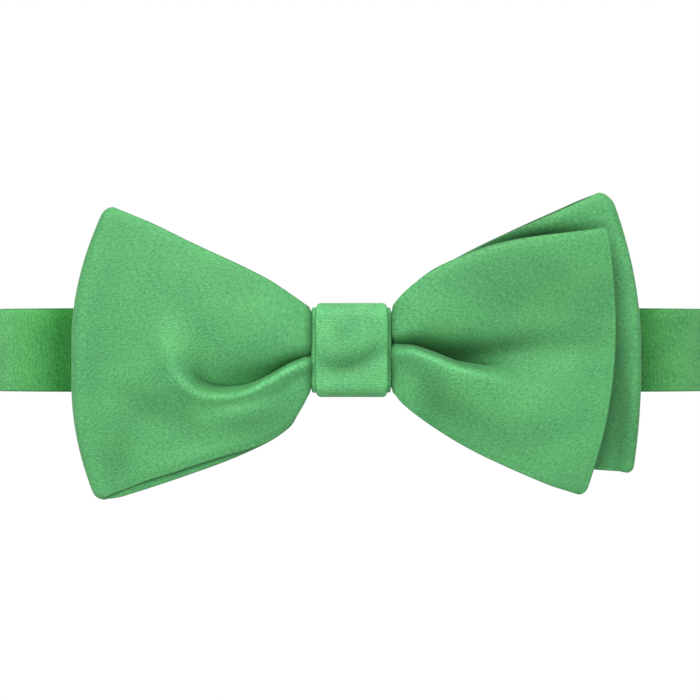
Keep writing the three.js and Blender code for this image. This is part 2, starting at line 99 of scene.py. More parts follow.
# The steps and the power of a ridge's smooth path, and how soon it fades to its ends.
RIDGE_STEPS = 61
RIDGE_POWER = 4
RIDGE_FADE = 1.5
# The steps of mesh round a loop's outer fold.
FOLD_STEPS = 20
# The wings start just beside the middle of the knot.
START = 0.15
# Half the depth of the knot's outer ply, whose back lies at the back of its node.
KNOT_HALF_DEPTH = 8.35
KNOT_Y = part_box("knot_outer_ply")[1].y / MM - KNOT_HALF_DEPTH


class Side(Enum):
    """The side of the knot on which a wing lies, as the sign of its X."""

    LEFT = -1
    RIGHT = 1


@dataclass(frozen=True)
class Section:
    """A section across a ply, so far out from the knot.

    Its columns are the heights of the top and bottom edges, the depth of the crown, how far each edge falls
    behind the crown, and the crease: its height, how deep the hollow over it is and how far up that opens,
    how far the roll under it stands out, how far the roll laps up over the hollow, and how wide the steep
    wall between the two is.
    """

    out: float
    top: float
    bottom: float
    crown: float
    top_fall: float = 0.0
    bottom_fall: float = 0.0
    crease: float = 0.0
    hollow: float = 0.0
    opening: float = 1.0
    roll: float = 0.0
    lap: float = 0.0
    wall: float = 2.6


@dataclass(frozen=True)
class Dent:
    """A soft swell, or below zero a dent: its middle, half length, half width, turn in degrees and height."""

    x: float
    z: float
    long: float
    wide: float
    turn: float
    height: float

    def depth(self, x: Grid, z: Grid) -> Grid:
        """Finds the depth that the dent adds.

        Args:
            x: Places across the bow.
            z: Heights.

        Returns:
            The added depth at each place.
        """
        turn = math.radians(self.turn)
        length = (x - self.x) * math.cos(turn) + (z - self.z) * math.sin(turn)
        width = (z - self.z) * math.cos(turn) - (x - self.x) * math.sin(turn)
        return self.height * np.exp(-((length / self.long) ** 2) - (width / self.wide) ** 2)


@dataclass(frozen=True)
class Ridge:
    """A soft ridge, or below zero a valley, along a path of places (x, z) over the cloth.

    The height is that at the middle of the path, and it fades to the ends. The widths lie on the left and
    on the right of the way along.
    """

    path: tuple[tuple[float, float], ...]
    height: float
    left: float
    right: float

    def depth(self, x: Grid, z: Grid) -> Grid:
        """Finds the depth that the ridge adds.

        Args:
            x: Places across the bow.
            z: Heights.

        Returns:
            The added depth at each place.
        """
        marks = np.array(self.path)
        steps = np.concatenate([[0.0], np.cumsum(np.linalg.norm(np.diff(marks, axis=0), axis=1))])
        way = steps / steps[-1]
        fine = np.linspace(0.0, 1.0, RIDGE_STEPS)
        power = min(RIDGE_POWER, len(marks) - 1)
        curve = np.stack([np.polyval(np.polyfit(way, marks[:, k], power), fine) for k in (0, 1)], axis=1)
        ahead = np.gradient(curve, axis=0)
        ahead /= np.linalg.norm(ahead, axis=1, keepdims=True)
        from_x = x[..., None] - curve[:, 0]
        from_z = z[..., None] - curve[:, 1]
        near = np.argmin(from_x**2 + from_z**2, axis=-1)
        off_x = np.take_along_axis(from_x, near[..., None], axis=-1)[..., 0]
        off_z = np.take_along_axis(from_z, near[..., None], axis=-1)[..., 0]
        left = ahead[near, 0] * off_z - ahead[near, 1] * off_x
        width = np.where(left > 0, self.left, self.right)
        fade = np.sin(np.pi * fine[near]) ** RIDGE_FADE
        return self.height * fade * np.exp(-(off_x**2 + off_z**2) / width**2)


FRONT_LOOP_SECTIONS = (
    Section(0.0, 6.5, -6.5, 4.6, 0.0, 0.0, -0.6, 1.2, 2.0, 0.3, 0.0),
    Section(7.6, 6.8, -6.8, 4.6, 0.0, 0.0, -0.6, 1.4, 2.0, 0.4, 0.1),
    Section(8.45, 7.1, -7.0, 5.0, 0.0, 0.2, -0.9, 1.8, 1.6, 0.5, 0.3),
    Section(8.8, 8.8, -8.8, 6.6, 0.3, 0.5, -1.1, 2.4, 1.4, 0.6, 0.5),
    Section(9.3, 9.3, -9.9, 8.0, 0.4, 0.9, -1.3, 3.2, 1.2, 0.7, 0.7),
    Section(10.4, 10.1, -12.2, 9.2, 0.9, 1.5, -1.9, 4.8, 1.4, 0.9, 1.1),
    Section(13.0, 11.9, -16.0, 10.3, 1.3, 2.6, -3.3, 6.2, 2.0, 1.1, 1.5),
    Section(17.0, 14.5, -19.0, 10.9, 1.4, 3.2, -5.6, 6.4, 2.9, 1.2, 1.4),
    Section(22.0, 17.0, -20.9, 11.1, 1.4, 2.8, -7.6, 6.0, 4.4, 1.3, 0.9, 2.6),
    Section(28.0, 19.6, -22.5, 11.1, 1.4, 2.1, -7.8, 4.9, 5.4, 1.1, 0.5, 2.8),
    Section(32.0, 21.2, -23.6, 11.0, 1.4, 1.9, -6.2, 3.7, 5.4, 0.8, 0.1, 3.4),
    Section(34.5, 22.2, -24.3, 10.9, 1.4, 1.9, -4.4, 2.0, 4.6, 0.5, 0.0, 4.0),
    Section(37.5, 23.4, -25.2, 10.7, 1.3, 1.8, -2.6, 0.5, 4.4, 0.2, 0.0, 5.0),
    Section(40.5, 24.6, -26.0, 10.4, 1.3, 1.8, -2.4, 0.0, 5.0, 0.0, 0.0, 6.0),
    Section(46.0, 26.6, -27.4, 9.7, 1.1, 1.7, -2.0, 0.0, 8.0, 0.0, 0.0, 6.0),
    Section(53.0, 28.6, -29.5, 8.6, 0.8, 1.4, -1.0, 0.0, 8.0, 0.0, 0.0, 6.0),
    Section(58.9, 30.0, -31.1, 7.5, 0.5, 0.8, -0.5, 0.0, 8.0, 0.0, 0.0, 6.0),
)
FRONT_LOOP_BACK_SECTIONS = (
    Section(0.0, 6.5, -6.5, 1.35),
    Section(8.45, 7.1, -7.0, 1.4),
    Section(8.8, 8.8, -8.8, 1.5),
    Section(9.8, 9.2, -10.6, 1.8, 0.0, -0.6),
    Section(13.0, 11.7, -16.2, 2.3, 0.2, -1.6),
    Section(22.0, 16.9, -21.4, 2.7, 0.2, -3.6),
    Section(37.0, 23.1, -26.6, 2.7, 0.0, -4.6),
    Section(53.0, 28.6, -30.8, 3.0, 0.0, -3.0),
    Section(58.9, 30.0, -31.5, 3.3, 0.0, -1.2),
)
FRONT_END_SECTIONS = (
    Section(0.0, 6.4, -6.4, 3.9, 0.0, 0.0, 1.5, 1.6, 1.8, 0.7, 0.0),
    Section(7.6, 6.7, -6.7, 3.9, 0.0, 0.0, 1.5, 1.7, 1.8, 0.8, 0.2),
    Section(8.45, 7.0, -7.0, 4.3, 0.2, 0.2, 1.4, 2.2, 1.6, 0.8, 0.3),
    Section(8.8, 9.1, -8.9, 5.9, 0.4, 0.4, 1.35, 2.9, 1.4, 0.6, 0.5),
    Section(9.3, 10.0, -9.5, 7.2, 0.6, 0.7, 1.25, 3.8, 1.3, 0.7, 0.7),
    Section(10.4, 11.4, -11.0, 8.4, 0.8, 1.4, 1.0, 5.4, 1.5, 0.9, 1.0),
    Section(13.0, 13.8, -13.2, 9.9, 1.0, 2.6, 0.5, 7.2, 2.2, 1.1, 1.4),
    Section(17.0, 16.8, -16.0, 10.7, 0.8, 3.0, -0.9, 8.0, 3.6, 1.2, 1.5),
    Section(22.0, 19.2, -19.0, 11.2, 0.5, 2.4, -2.7, 7.6, 5.2, 1.3, 1.2, 2.6),
    Section(27.0, 21.1, -21.5, 11.4, 0.3, 1.8, -3.3, 4.8, 6.6, 1.0, 0.6, 2.6),
    Section(31.0, 22.3, -23.2, 11.3, 0.2, 1.5, -3.3, 2.6, 7.6, 0.6, 0.1, 3.0),
    Section(37.0, 23.5, -25.5, 10.9, 0.2, 1.3, -3.5, 1.0, 8.0, 0.3, 0.0, 5.0),
    Section(46.0, 24.6, -28.4, 9.8, 0.2, 1.1, -3.8, 0.0, 8.0, 0.0, 0.0, 6.0),
    Section(51.0, 25.1, -29.5, 9.0, 0.3, 1.0, -3.4, 0.0, 8.0, 0.0, 0.0, 6.0),
    Section(55.6, 25.7, -30.4, 8.1, 0.4, 0.9, -3.0, 0.0, 8.0, 0.0, 0.0, 6.0),
)
BACK_LOOP_SECTIONS = (
    Section(0.0, 6.4, -6.4, -0.3),
    Section(8.45, 7.0, -7.0, -0.2),
    Section(8.8, 9.0, -8.4, -0.1),
    Section(9.8, 10.0, -9.4, 0.1),
    Section(13.0, 13.1, -12.1, 0.7, 0.0, 0.2),
    Section(17.0, 16.0, -14.6, 1.3, 0.0, 0.4),
    Section(22.0, 19.1, -17.2, 2.1, 0.0, 0.5),
    Section(29.0, 22.5, -20.3, 2.9, 0.1, 0.6),
    Section(37.0, 25.5, -22.8, 3.2, 0.2, 0.7),
    Section(46.0, 28.6, -24.7, 2.8, 0.3, 0.7),
    Section(53.0, 30.8, -25.3, 2.3, 0.3, 0.6),
    Section(61.3, 33.2, -25.8, 1.9, 0.2, 0.4),
)
BACK_LOOP_BACK_SECTIONS = (
    Section(0.0, 6.4, -6.4, -3.2),
    Section(8.7, 7.0, -7.0, -3.2),
    Section(9.8, 10.0, -9.4, -3.1),
    Section(13.0, 13.2, -12.1, -3.1, -0.4, -0.4),
    Section(22.0, 19.2, -17.2, -3.1, -0.8, -0.8),
    Section(37.0, 25.8, -22.8, -2.9, -1.0, -1.0),
    Section(53.0, 31.2, -25.3, -2.2, -0.8, -0.8),
    Section(61.3, 33.2, -25.8, -1.4, -0.4, -0.4),
)
BACK_LOOP_RIDGES = (
    Ridge(((18.0, 15.0), (26.0, 20.2), (35.0, 22.9), (46.0, 24.6), (57.0, 25.6)), -2.2, 2.4, 4.0),
)
BACK_END_SECTIONS = (
    Section(0.0, 6.4, -6.4, -1.75, 0.0, 0.0, 0.0, 1.0, 2.4, 0.3),
    Section(8.7, 7.0, -7.0, -1.7, 0.0, 0.0, 0.0, 1.0, 2.4, 0.3),
    Section(9.8, 8.4, -9.6, -1.4, 0.0, 0.2, -0.1, 1.1, 2.8, 0.3),
    Section(13.0, 10.9, -13.6, -0.8, 0.3, 0.6, -0.4, 1.4, 3.4, 0.4),
    Section(17.0, 13.2, -16.5, -0.5, 0.6, 1.0, -0.9, 1.5, 4.2, 0.4),
    Section(22.0, 15.4, -18.6, -0.5, 0.9, 1.2, -1.5, 1.4, 5.0, 0.3),
    Section(29.0, 18.2, -20.4, -0.6, 1.1, 1.3, -2.2, 0.9, 6.0, 0.2),
    Section(37.0, 21.0, -22.0, -1.0, 1.2, 1.3, -2.0, 0.3, 6.0, 0.1),
    Section(46.0, 23.6, -23.4, -1.9, 1.0, 1.1, -1.4, 0.0, 6.0, 0.0),
    Section(53.6, 25.0, -24.2, -2.9, 0.7, 0.8, -1.0, 0.0, 6.0, 0.0),
)
FRONT_LOOP_DENTS = (
    Dent(-51.0, -24.0, 9.0, 4.0, 62.0, -1.0),
    Dent(-21.6, -13.6, 7.0, 2.0, 8.0, 0.8),
)
KNOT_RIDGES = (
    Ridge(((-8.4, -0.8), (-4.6, -3.2), (-0.8, -3.4), (2.8, -1.8), (8.4, 1.4)), -0.9, 2.6, 2.3),
    Ridge(((-1.0, 9.0), (-1.6, 3.4), (0.4, -2.0)), -0.4, 1.8, 2.4),
    Ridge(((1.0, -8.6), (3.6, -4.6), (8.4, -2.4)), 0.2, 2.0, 2.0),
)
FRONT_LOOP_RIDGES = (
    Ridge(
        ((-21.0, -9.6), (-28.6, -9.8), (-34.0, -7.2), (-37.2, -2.8), (-38.4, 2.2), (-38.0, 8.6)),
        1.4, 2.0, 4.6,
    ),
    Ridge(
        (
            (-5.5, -4.8), (-11.9, -6.5), (-15.0, -8.1), (-18.8, -10.0),
            (-22.4, -11.1), (-26.6, -11.7), (-33.0, -11.2),
        ),
        -1.3, 1.6, 1.6,
    ),
    Ridge(((-26.0, -15.6), (-31.0, -15.3), (-37.0, -14.3), (-43.0, -11.8), (-52.0, -8.6)), -0.9, 4.6, 4.4),
    Ridge(((-16.0, -18.9), (-32.0, -22.6), (-50.0, -26.2)), 0.7, 2.6, 2.4),
)
FRONT_END_DENTS = (
    Dent(45.0, 0.8, 13.0, 3.4, 2.0, -0.8),
    Dent(40.0, -13.0, 15.0, 7.0, -12.0, 1.5),
    Dent(18.0, -11.0, 9.0, 3.8, -36.0, -1.1),
)
# Painted shade deeper than the cloth's own shape gives, or below zero painted light, in the measure of its
# folds.
# On the front loop: painted light near the knot, on the roll's crest and on the swells beside the bowl and
# below the roll, and painted shade over its outer part and in the valleys below the roll.
FRONT_LOOP_PAINTED_SHADE = (
    Ridge(((-8.8, 2.0), (-9.8, -4.0), (-10.4, -9.0), (-11.5, -16.0)), -0.5, 1.6, 1.6),
    Ridge(((-54.0, 38.0), (-58.0, 12.0), (-58.0, -10.0), (-52.0, -38.0)), 0.26, 11.0, 11.0),
    Ridge(((-26.0, -15.6), (-31.0, -15.3), (-37.0, -14.3), (-43.0, -11.4), (-52.0, -8.0)), 0.25, 4.0, 4.0),
    Ridge(
        ((-4.0, -4.4), (-11.9, -6.5), (-18.8, -9.9), (-22.4, -11.0), (-26.6, -11.5), (-34.0, -11.0)),
        0.4, 1.2, 1.2,
    ),
    Ridge(
        (
            (-4.0, -1.6), (-9.8, -3.4), (-12.0, -4.6), (-15.0, -6.1),
            (-18.8, -7.6), (-23.0, -9.0), (-30.0, -9.4),
        ),
        -1.1, 1.0, 1.0,
    ),
    Ridge(((-13.0, -11.6), (-18.0, -13.4), (-24.0, -14.6), (-32.0, -15.0)), -0.45, 1.8, 1.8),
    Ridge(((-33.0, -10.0), (-35.6, -5.4), (-37.1, -1.0), (-37.4, 4.0), (-36.6, 10.0)), -0.6, 2.0, 2.0),
    Ridge(((-4.0, 5.0), (-12.0, 7.0), (-24.0, 13.0)), -0.9, 4.0, 4.0),
)
# Painted shade over the crease, in the wedge by the knot and along the lip, with painted light inside the
# bowl.
FRONT_LOOP_HOLLOW_PAINTED_SHADE = (
    Ridge(
        ((-3.0, 1.0), (-11.5, -1.4), (-15.0, -2.6), (-19.0, -3.2), (-24.0, -3.4), (-30.0, -3.2)),
        0.55, 1.4, 1.4,
    ),
    Ridge(((-13.0, -4.8), (-18.5, -5.4), (-22.4, -5.4), (-26.6, -5.2), (-32.0, -4.4)), -0.7, 1.5, 1.5),
    Ridge(((-20.0, -6.8), (-24.0, -7.5), (-27.5, -7.7), (-31.5, -6.9), (-36.0, -4.6)), 0.6, 0.8, 0.8),
)
# Painted shade below the crease, over the upper half and in the knot's shadow beside it, and painted light on
# the lower lobe's outer edge.
FRONT_END_PAINTED_SHADE = (
    Ridge(((5.0, -2.0), (13.0, -8.0), (21.0, -13.0), (38.0, -20.0)), 0.42, 6.5, 5.0),
    Ridge(((12.0, 17.0), (28.0, 14.0), (46.0, 12.0), (66.0, 10.0)), 0.45, 8.0, 8.0),
    Ridge(((9.0, 3.0), (9.5, -4.0), (9.8, -8.0), (10.6, -16.0)), 0.6, 1.6, 1.4),
    Ridge(((34.0, -24.0), (46.0, -20.0), (60.0, -17.0)), -0.8, 5.0, 5.0),
)
# Painted shade in the hollow over the crease.
FRONT_END_HOLLOW_PAINTED_SHADE = (
    Ridge(
        ((5.0, 2.4), (12.0, 1.2), (19.0, 0.4), (25.0, 0.1), (31.0, 0.9), (38.0, 2.2), (46.0, 3.4)),
        1.35, 2.7, 2.5,
    ),
)
# The front end's painted shadow on the back loop beside its right edge and above its top edge, and painted
# light near the top of the loop's side.
BACK_LOOP_PAINTED_SHADE = (
    Ridge(((55.8, 12.0), (57.2, 0.0), (57.6, -12.0), (57.3, -22.0), (56.6, -42.0)), 0.85, 3.0, 2.2),
    Ridge(((53.0, 34.0), (57.6, 20.0), (60.4, 4.0)), -0.9, 2.2, 2.2),
    Ridge(
        ((16.0, 15.4), (22.0, 19.4), (31.2, 22.8), (39.6, 24.2), (46.0, 25.0), (52.0, 25.8), (66.0, 27.6)),
        1.5, 1.6, 3.0,
    ),
)
# Painted shade along the knot's diagonal crease and over its lower half.
KNOT_PAINTED_SHADE = (
    Ridge(
        ((-15.0, 4.2), (-7.5, 0.0), (-4.0, -2.5), (-0.5, -2.8), (3.0, -1.3), (7.5, 1.0), (15.0, 4.6)),
        0.55, 3.3, 2.5,
    ),
    Ridge(((-14.0, -7.0), (0.0, -7.0), (14.0, -7.0)), 0.46, 3.8, 3.0),
)


def smooth(share: Grid) -> Grid:
    """Eases a share from 0 to 1.

    Args:
        share: Shares, which may lie past 0 or 1.

    Returns:
        The eased shares, from 0 to 1.
    """
    t = np.clip(share, 0.0, 1.0)
    return t * t * (3.0 - 2.0 * t)


def summed(forms: tuple[Ridge | Dent, ...], x: Grid, z: Grid) -> Grid:
    """Sums ridges or dents at places on the cloth.

    Args:
        forms: The ridges or dents.
        x: Places across the bow.
        z: Heights.

    Returns:
        The sum at each place.
    """
    x, z = np.broadcast_arrays(x, z)
    total = np.zeros(x.shape)
    for form in forms:
        total += form.depth(x, z)
    return total


@dataclass(frozen=True)
class Ply:
    """One layer of a wing: its sections out from the knot, its soft dents, its ridges, and its painted shade.

    The painted shade, or painted light where below zero, lies anywhere on the ply; the painted shade of the
    hollows stops at the crease.
    """

    sections: tuple[Section, ...]
    dents: tuple[Dent, ...] = ()
    ridges: tuple[Ridge, ...] = ()
    painted_shades: tuple[Ridge, ...] = ()
    hollow_painted_shades: tuple[Ridge, ...] = ()

    def read(self, column: str, out: Grid) -> Grid:
        """Reads one column on a smooth curve through the sections.

        Args:
            column: Name of the section's value.
            out: Distances out from the knot.

        Returns:
            The value at each distance.
        """
        places = np.array([section.out for section in self.sections])
        values = np.array([getattr(section, column) for section in self.sections])
        slopes = np.empty_like(values)
        slopes[1:-1] = (values[2:] - values[:-2]) / (places[2:] - places[:-2])
        slopes[0] = (values[1] - values[0]) / (places[1] - places[0])
        slopes[-1] = (values[-1] - values[-2]) / (places[-1] - places[-2])
        to = np.clip(np.searchsorted(places, out), 1, len(places) - 1)
        span = places[to] - places[to - 1]
        t = np.clip((out - places[to - 1]) / span, 0.0, 1.0)
        return (
            (2 * t**3 - 3 * t**2 + 1) * values[to - 1]
            + (t**3 - 2 * t**2 + t) * slopes[to - 1] * span
            + (3 * t**2 - 2 * t**3) * values[to]
            + (t**3 - t**2) * slopes[to] * span
        )

    def row_height(self, out: Grid, share: Grid) -> Grid:
        """Finds the height of rows of cloth, share 0 at the bottom edge and 1 at the top.

        Args:
            out: Distances out from the knot.
            share: Shares of the way up the ply.

        Returns:
            Heights, with the rows drawn to the crease.
        """
        crease = self.read("crease", out)
        below = self.read("bottom", out) + (crease - self.read("bottom", out)) * (share / CREASE_SHARE)
        over = crease + (self.read("top", out) - crease) * ((share - CREASE_SHARE) / (1 - CREASE_SHARE))
        return np.where(share < CREASE_SHARE, below, over)

    def surface(self, side: Side, out: Grid, height: Grid) -> Grid:
        """Finds the ply's depth with its ridges and its soft dents."""
        x = side.value * out
        return self.depth(out, height) + (summed(self.ridges, x, height) + summed(self.dents, x, height))

    def depth(self, out: Grid, height: Grid) -> Grid:
        """Finds the ply's depth: its crown, the fall to its edges, and its crease.

        Args:
            out: Distances out from the knot.
            height: Heights.

        Returns:
            The depth at each place.
        """
        top = self.read("top", out)
        bottom = self.read("bottom", out)
        place = 2 * (height - bottom) / (top - bottom) - 1
        fall = np.where(place > 0, self.read("top_fall", out), self.read("bottom_fall", out))
        over = height - self.read("crease", out)
        hollow = self.read("hollow", out)
        opening = self.read("opening", out)
        width = self.read("wall", out)
        wall = smooth(-over / width)
        past = np.maximum(0.0, -over - width) / opening
        above = -hollow * np.exp(-((np.maximum(over, 0.0) / opening) ** HOLLOW_POWER))
        below = self.read("roll", out) * wall * np.exp(-(past**2)) - hollow * (1 - wall)
        crown = self.read("crown", out) - fall * np.abs(place) ** FALL_POWER
        return crown + np.where(over > 0, above, below)

    def lap(self, out: Grid, height: Grid) -> Grid:
        """Finds how far the roll under the crease laps up over the hollow."""
        under = np.maximum(0.0, self.read("crease", out) - height) / self.read("wall", out)
        return self.read("lap", out) * under * np.exp(1.0 - under)


@dataclass(frozen=True)
class OuterEdge:
    """How a wing ends outside: its reach, its straight stretch, how far it draws in, and its corners."""

    reach: float
    straight_top: float
    straight_bottom: float
    top_inset: float
    bottom_inset: float
    top_corner: float
    bottom_corner: float

    def inset(self, height: Grid, top: float, bottom: float) -> Grid:
        """Finds how far the edge lies inside its widest reach.

        Args:
            height: Heights along the outer edge.
            top: Height of its upper corner.
            bottom: Height of its lower corner.

        Returns:
            The inset at each height.
        """
        rise = np.maximum(0.0, height - self.straight_top) / (top - self.straight_top)
        drop = np.maximum(0.0, self.straight_bottom - height) / (self.straight_bottom - bottom)
        inset = self.top_inset * rise**EDGE_POWER + self.bottom_inset * drop**EDGE_POWER
        for radius, room in ((self.top_corner, top - height), (self.bottom_corner, height - bottom)):
            past = np.clip(radius - room, 0.0, radius)
            inset = inset + radius - np.sqrt(radius**2 - past**2)
        return inset


# The numbers of a Mix node's colour sockets.
FIRST_COLOUR = 6
SECOND_COLOUR = 7
MIXED_COLOUR = 2
# How many finer layers a soft and a fine noise have.
SOFT_LAYERS = 1.0
FINE_LAYERS = 2.0
# How much of its colour the cloth shows, from painted light on its crests to painted shade in its deepest
# folds, by sunken depth.
PAINTED_FOLD_SHADING = ((-2.0, 1.34), (-1.0, 1.11), (0.0, 0.97), (0.6, 0.7), (1.6, 0.26), (3.0, 0.08))
# How much of its colour the cloth shows at distances in from its edges: a painted shade line at the very edge
# and a painted highlight just inside it, where the rolled edge catches the light.
PAINTED_RIM_SHADING = ((0.0, 0.8), (0.2, 0.9), (0.5, 1.16), (1.0, 1.08), (3.4, 1.0))


class Graph:
    """A graph of nodes, grown node by node."""

    def __init__(self, tree: bpy.types.NodeTree) -> None:
        """Takes up the tree of a material or a world."""
        self.nodes = tree.nodes
        self.links = tree.links

    def feed(self, node: bpy.types.Node, values: dict[str | int, Value]) -> None:
        """Links a node's sockets, or sets their plain values.

        Args:
            node: The node.
            values: What each socket is fed, by the socket's name or number.
        """
        for place, value in values.items():
            socket = node.inputs[place]
            if isinstance(value, Socket):
                self.links.new(value, socket)
            elif isinstance(value, tuple) and len(socket.default_value) > len(value):
                socket.default_value = (*value, 1.0)
            else:
                socket.default_value = value

    def add(self, kind: str, values: dict[str | int, Value], **settings: str) -> bpy.types.Node:
        """Adds a node.

        Args:
            kind: The node's kind.
            values: What its sockets are fed.
            settings: The node's own settings.

        Returns:
            The node.
        """
        node = self.nodes.new(kind)
        for setting, choice in settings.items():
            setattr(node, setting, choice)
        self.feed(node, values)
        return node

    def number(self, operation: str, *values: Value) -> Socket:
        """Works out a number by a Math node's operation, from sockets or plain numbers."""
        return self.add("ShaderNodeMath", dict(enumerate(values)), operation=operation).outputs["Value"]

    def mix(self, kind: str, share: Value, first: Value, second: Value) -> Socket:
        """Mixes two colours or their sockets; the share is the second one's."""
        values = {"Factor": share, FIRST_COLOUR: first, SECOND_COLOUR: second}
        return self.add("ShaderNodeMix", values, data_type="RGBA", blend_type=kind).outputs[MIXED_COLOUR]

    def ramp(self, value: Socket, stops: Stops, deepen: float = 1.0) -> Socket:
        """Reads a shade between stops.

        Args:
            value: The socket that is looked up.
            stops: Pairs of a value and its shade.
            deepen: The power by which red and blue fall faster than green.

        Returns:
            The shade's colour socket.
        """
        first, last = stops[0][0], stops[-1][0]
        span = self.add("ShaderNodeMapRange", {"Value": value, "From Min": first, "From Max": last})
        ramp = self.add("ShaderNodeValToRGB", {"Fac": span.outputs["Result"]})
        marks = ramp.color_ramp.elements
        while len(marks) < len(stops):
            marks.new(1.0)
        for mark, (place, shade) in zip(marks, stops):
            mark.position = (place - first) / (last - first)
            mark.color = (shade**deepen, shade, shade**deepen, 1.0)
        return ramp.outputs["Color"]


class ClothGraph(Graph):
    """The graph of a cloth's material, laid along the cloth's own directions."""

    def __init__(self, name: str) -> None:
        """Starts a material with its shader.

        Args:
            name: The material's name.
        """
        self.material = bpy.data.materials.new(name)
        self.material.use_nodes = True
        super().__init__(self.material.node_tree)
        self.shader = self.nodes["Principled BSDF"]
        self.cloth = self.add("ShaderNodeUVMap", {}, uv_map="cloth").outputs["UV"]

    def along(self, turn: float, long: float, wide: float) -> Socket:
        """Turns the cloth's directions and scales them.

        Args:
            turn: The turn of the long direction from the cloth's length, in degrees.
            long: Millimetres of one unit in the long direction.
            wide: Millimetres of one unit across it.

        Returns:
            The turned place's socket.
        """
        spun = {"Vector": self.cloth, "Rotation": (0.0, 0.0, -math.radians(turn))}
        place = self.add("ShaderNodeMapping", spun).outputs["Vector"]
        scaled = {"Vector": place, "Scale": (1 / long, 1 / wide, 1.0)}
        return self.add("ShaderNodeMapping", scaled).outputs["Vector"]

    def noise(self, place: Socket, detail: float) -> Socket:
        """Makes a soft noise, about 0.5 in the middle, with so many finer layers."""
        values = {"Vector": place, "Scale": 1.0, "Detail": detail}
        return self.add("ShaderNodeTexNoise", values).outputs["Fac"]

    def ribs(self, turn: float, pitch: float) -> Socket:
        """Makes the fine ribs of the weave, from 0 to 1.

        Args:
            turn: The turn of the direction across the ribs, in degrees.
            pitch: Millimetres from rib to rib.

        Returns:
            The ribs' socket.
        """
        place = self.along(turn, pitch, pitch * RIB_LENGTH)
        values = {"Vector": place, "Scale": WAVE_SCALE, "Distortion": RIB_WAVER, "Detail": FINE_LAYERS}
        return self.add("ShaderNodeTexWave", values).outputs["Fac"]

    def attribute(self, name: str) -> Socket:
        """Reads a number that the mesh keeps at each vertex."""
        return self.add("ShaderNodeAttribute", {}, attribute_name=name).outputs["Fac"]


# The fine flecks: how strong they are beside the grain, their size, their turn from the grain, and how much
# glossier they are.
FLECK_SHARE = 0.4
FLECK_LONG = 0.3
FLECK_WIDE = 0.22
FLECK_TURN = -70.0
FLECK_GLOSS = 0.16
# The cloudy patches: their turn, their width as a share of their length, and how far they change the tone
# and the hue of the cloth.
PATCH_TURN = 20.0
PATCH_WIDE = 0.6
PATCH_TONE = 0.3
PATCH_HUE = 0.022
# The value at which a Hue node leaves a colour as it is.
SAME_HUE = 0.5
# The powers by which red and blue fall faster than green in the painted shade of the folds and in the wings'
# painted shadow on the band beside the bow.
FOLD_DEEPEN = 1.12
BAND_DEEPEN = 1.9
# How strong and how deep the weave's relief is.
RELIEF_STRENGTH = 0.45
RELIEF_DEPTH = 0.08
SHEEN_ROUGHNESS = 0.4
# The tint of the cloth's gloss and sheen.
PALE_GREEN = (0.6, 1.0, 0.66)
# How fast the wings' painted shadow on the band beside the bow gives out towards the back, and how far in
# front of the middle of the neck that starts.
BAND_BEHIND = 4.0
BAND_BEHIND_FROM = 30.0
# How far the wings' painted shadow on the band beside the bow is moved to the left.
BAND_SHADE_SHIFT = 1.5
# The scale at which a Wave texture has one band for each unit.
WAVE_SCALE = math.pi / 10
# How far the weave's ribs waver, and how much longer than their pitch the wavers are.
RIB_WAVER = 1.4
RIB_LENGTH = 12.0


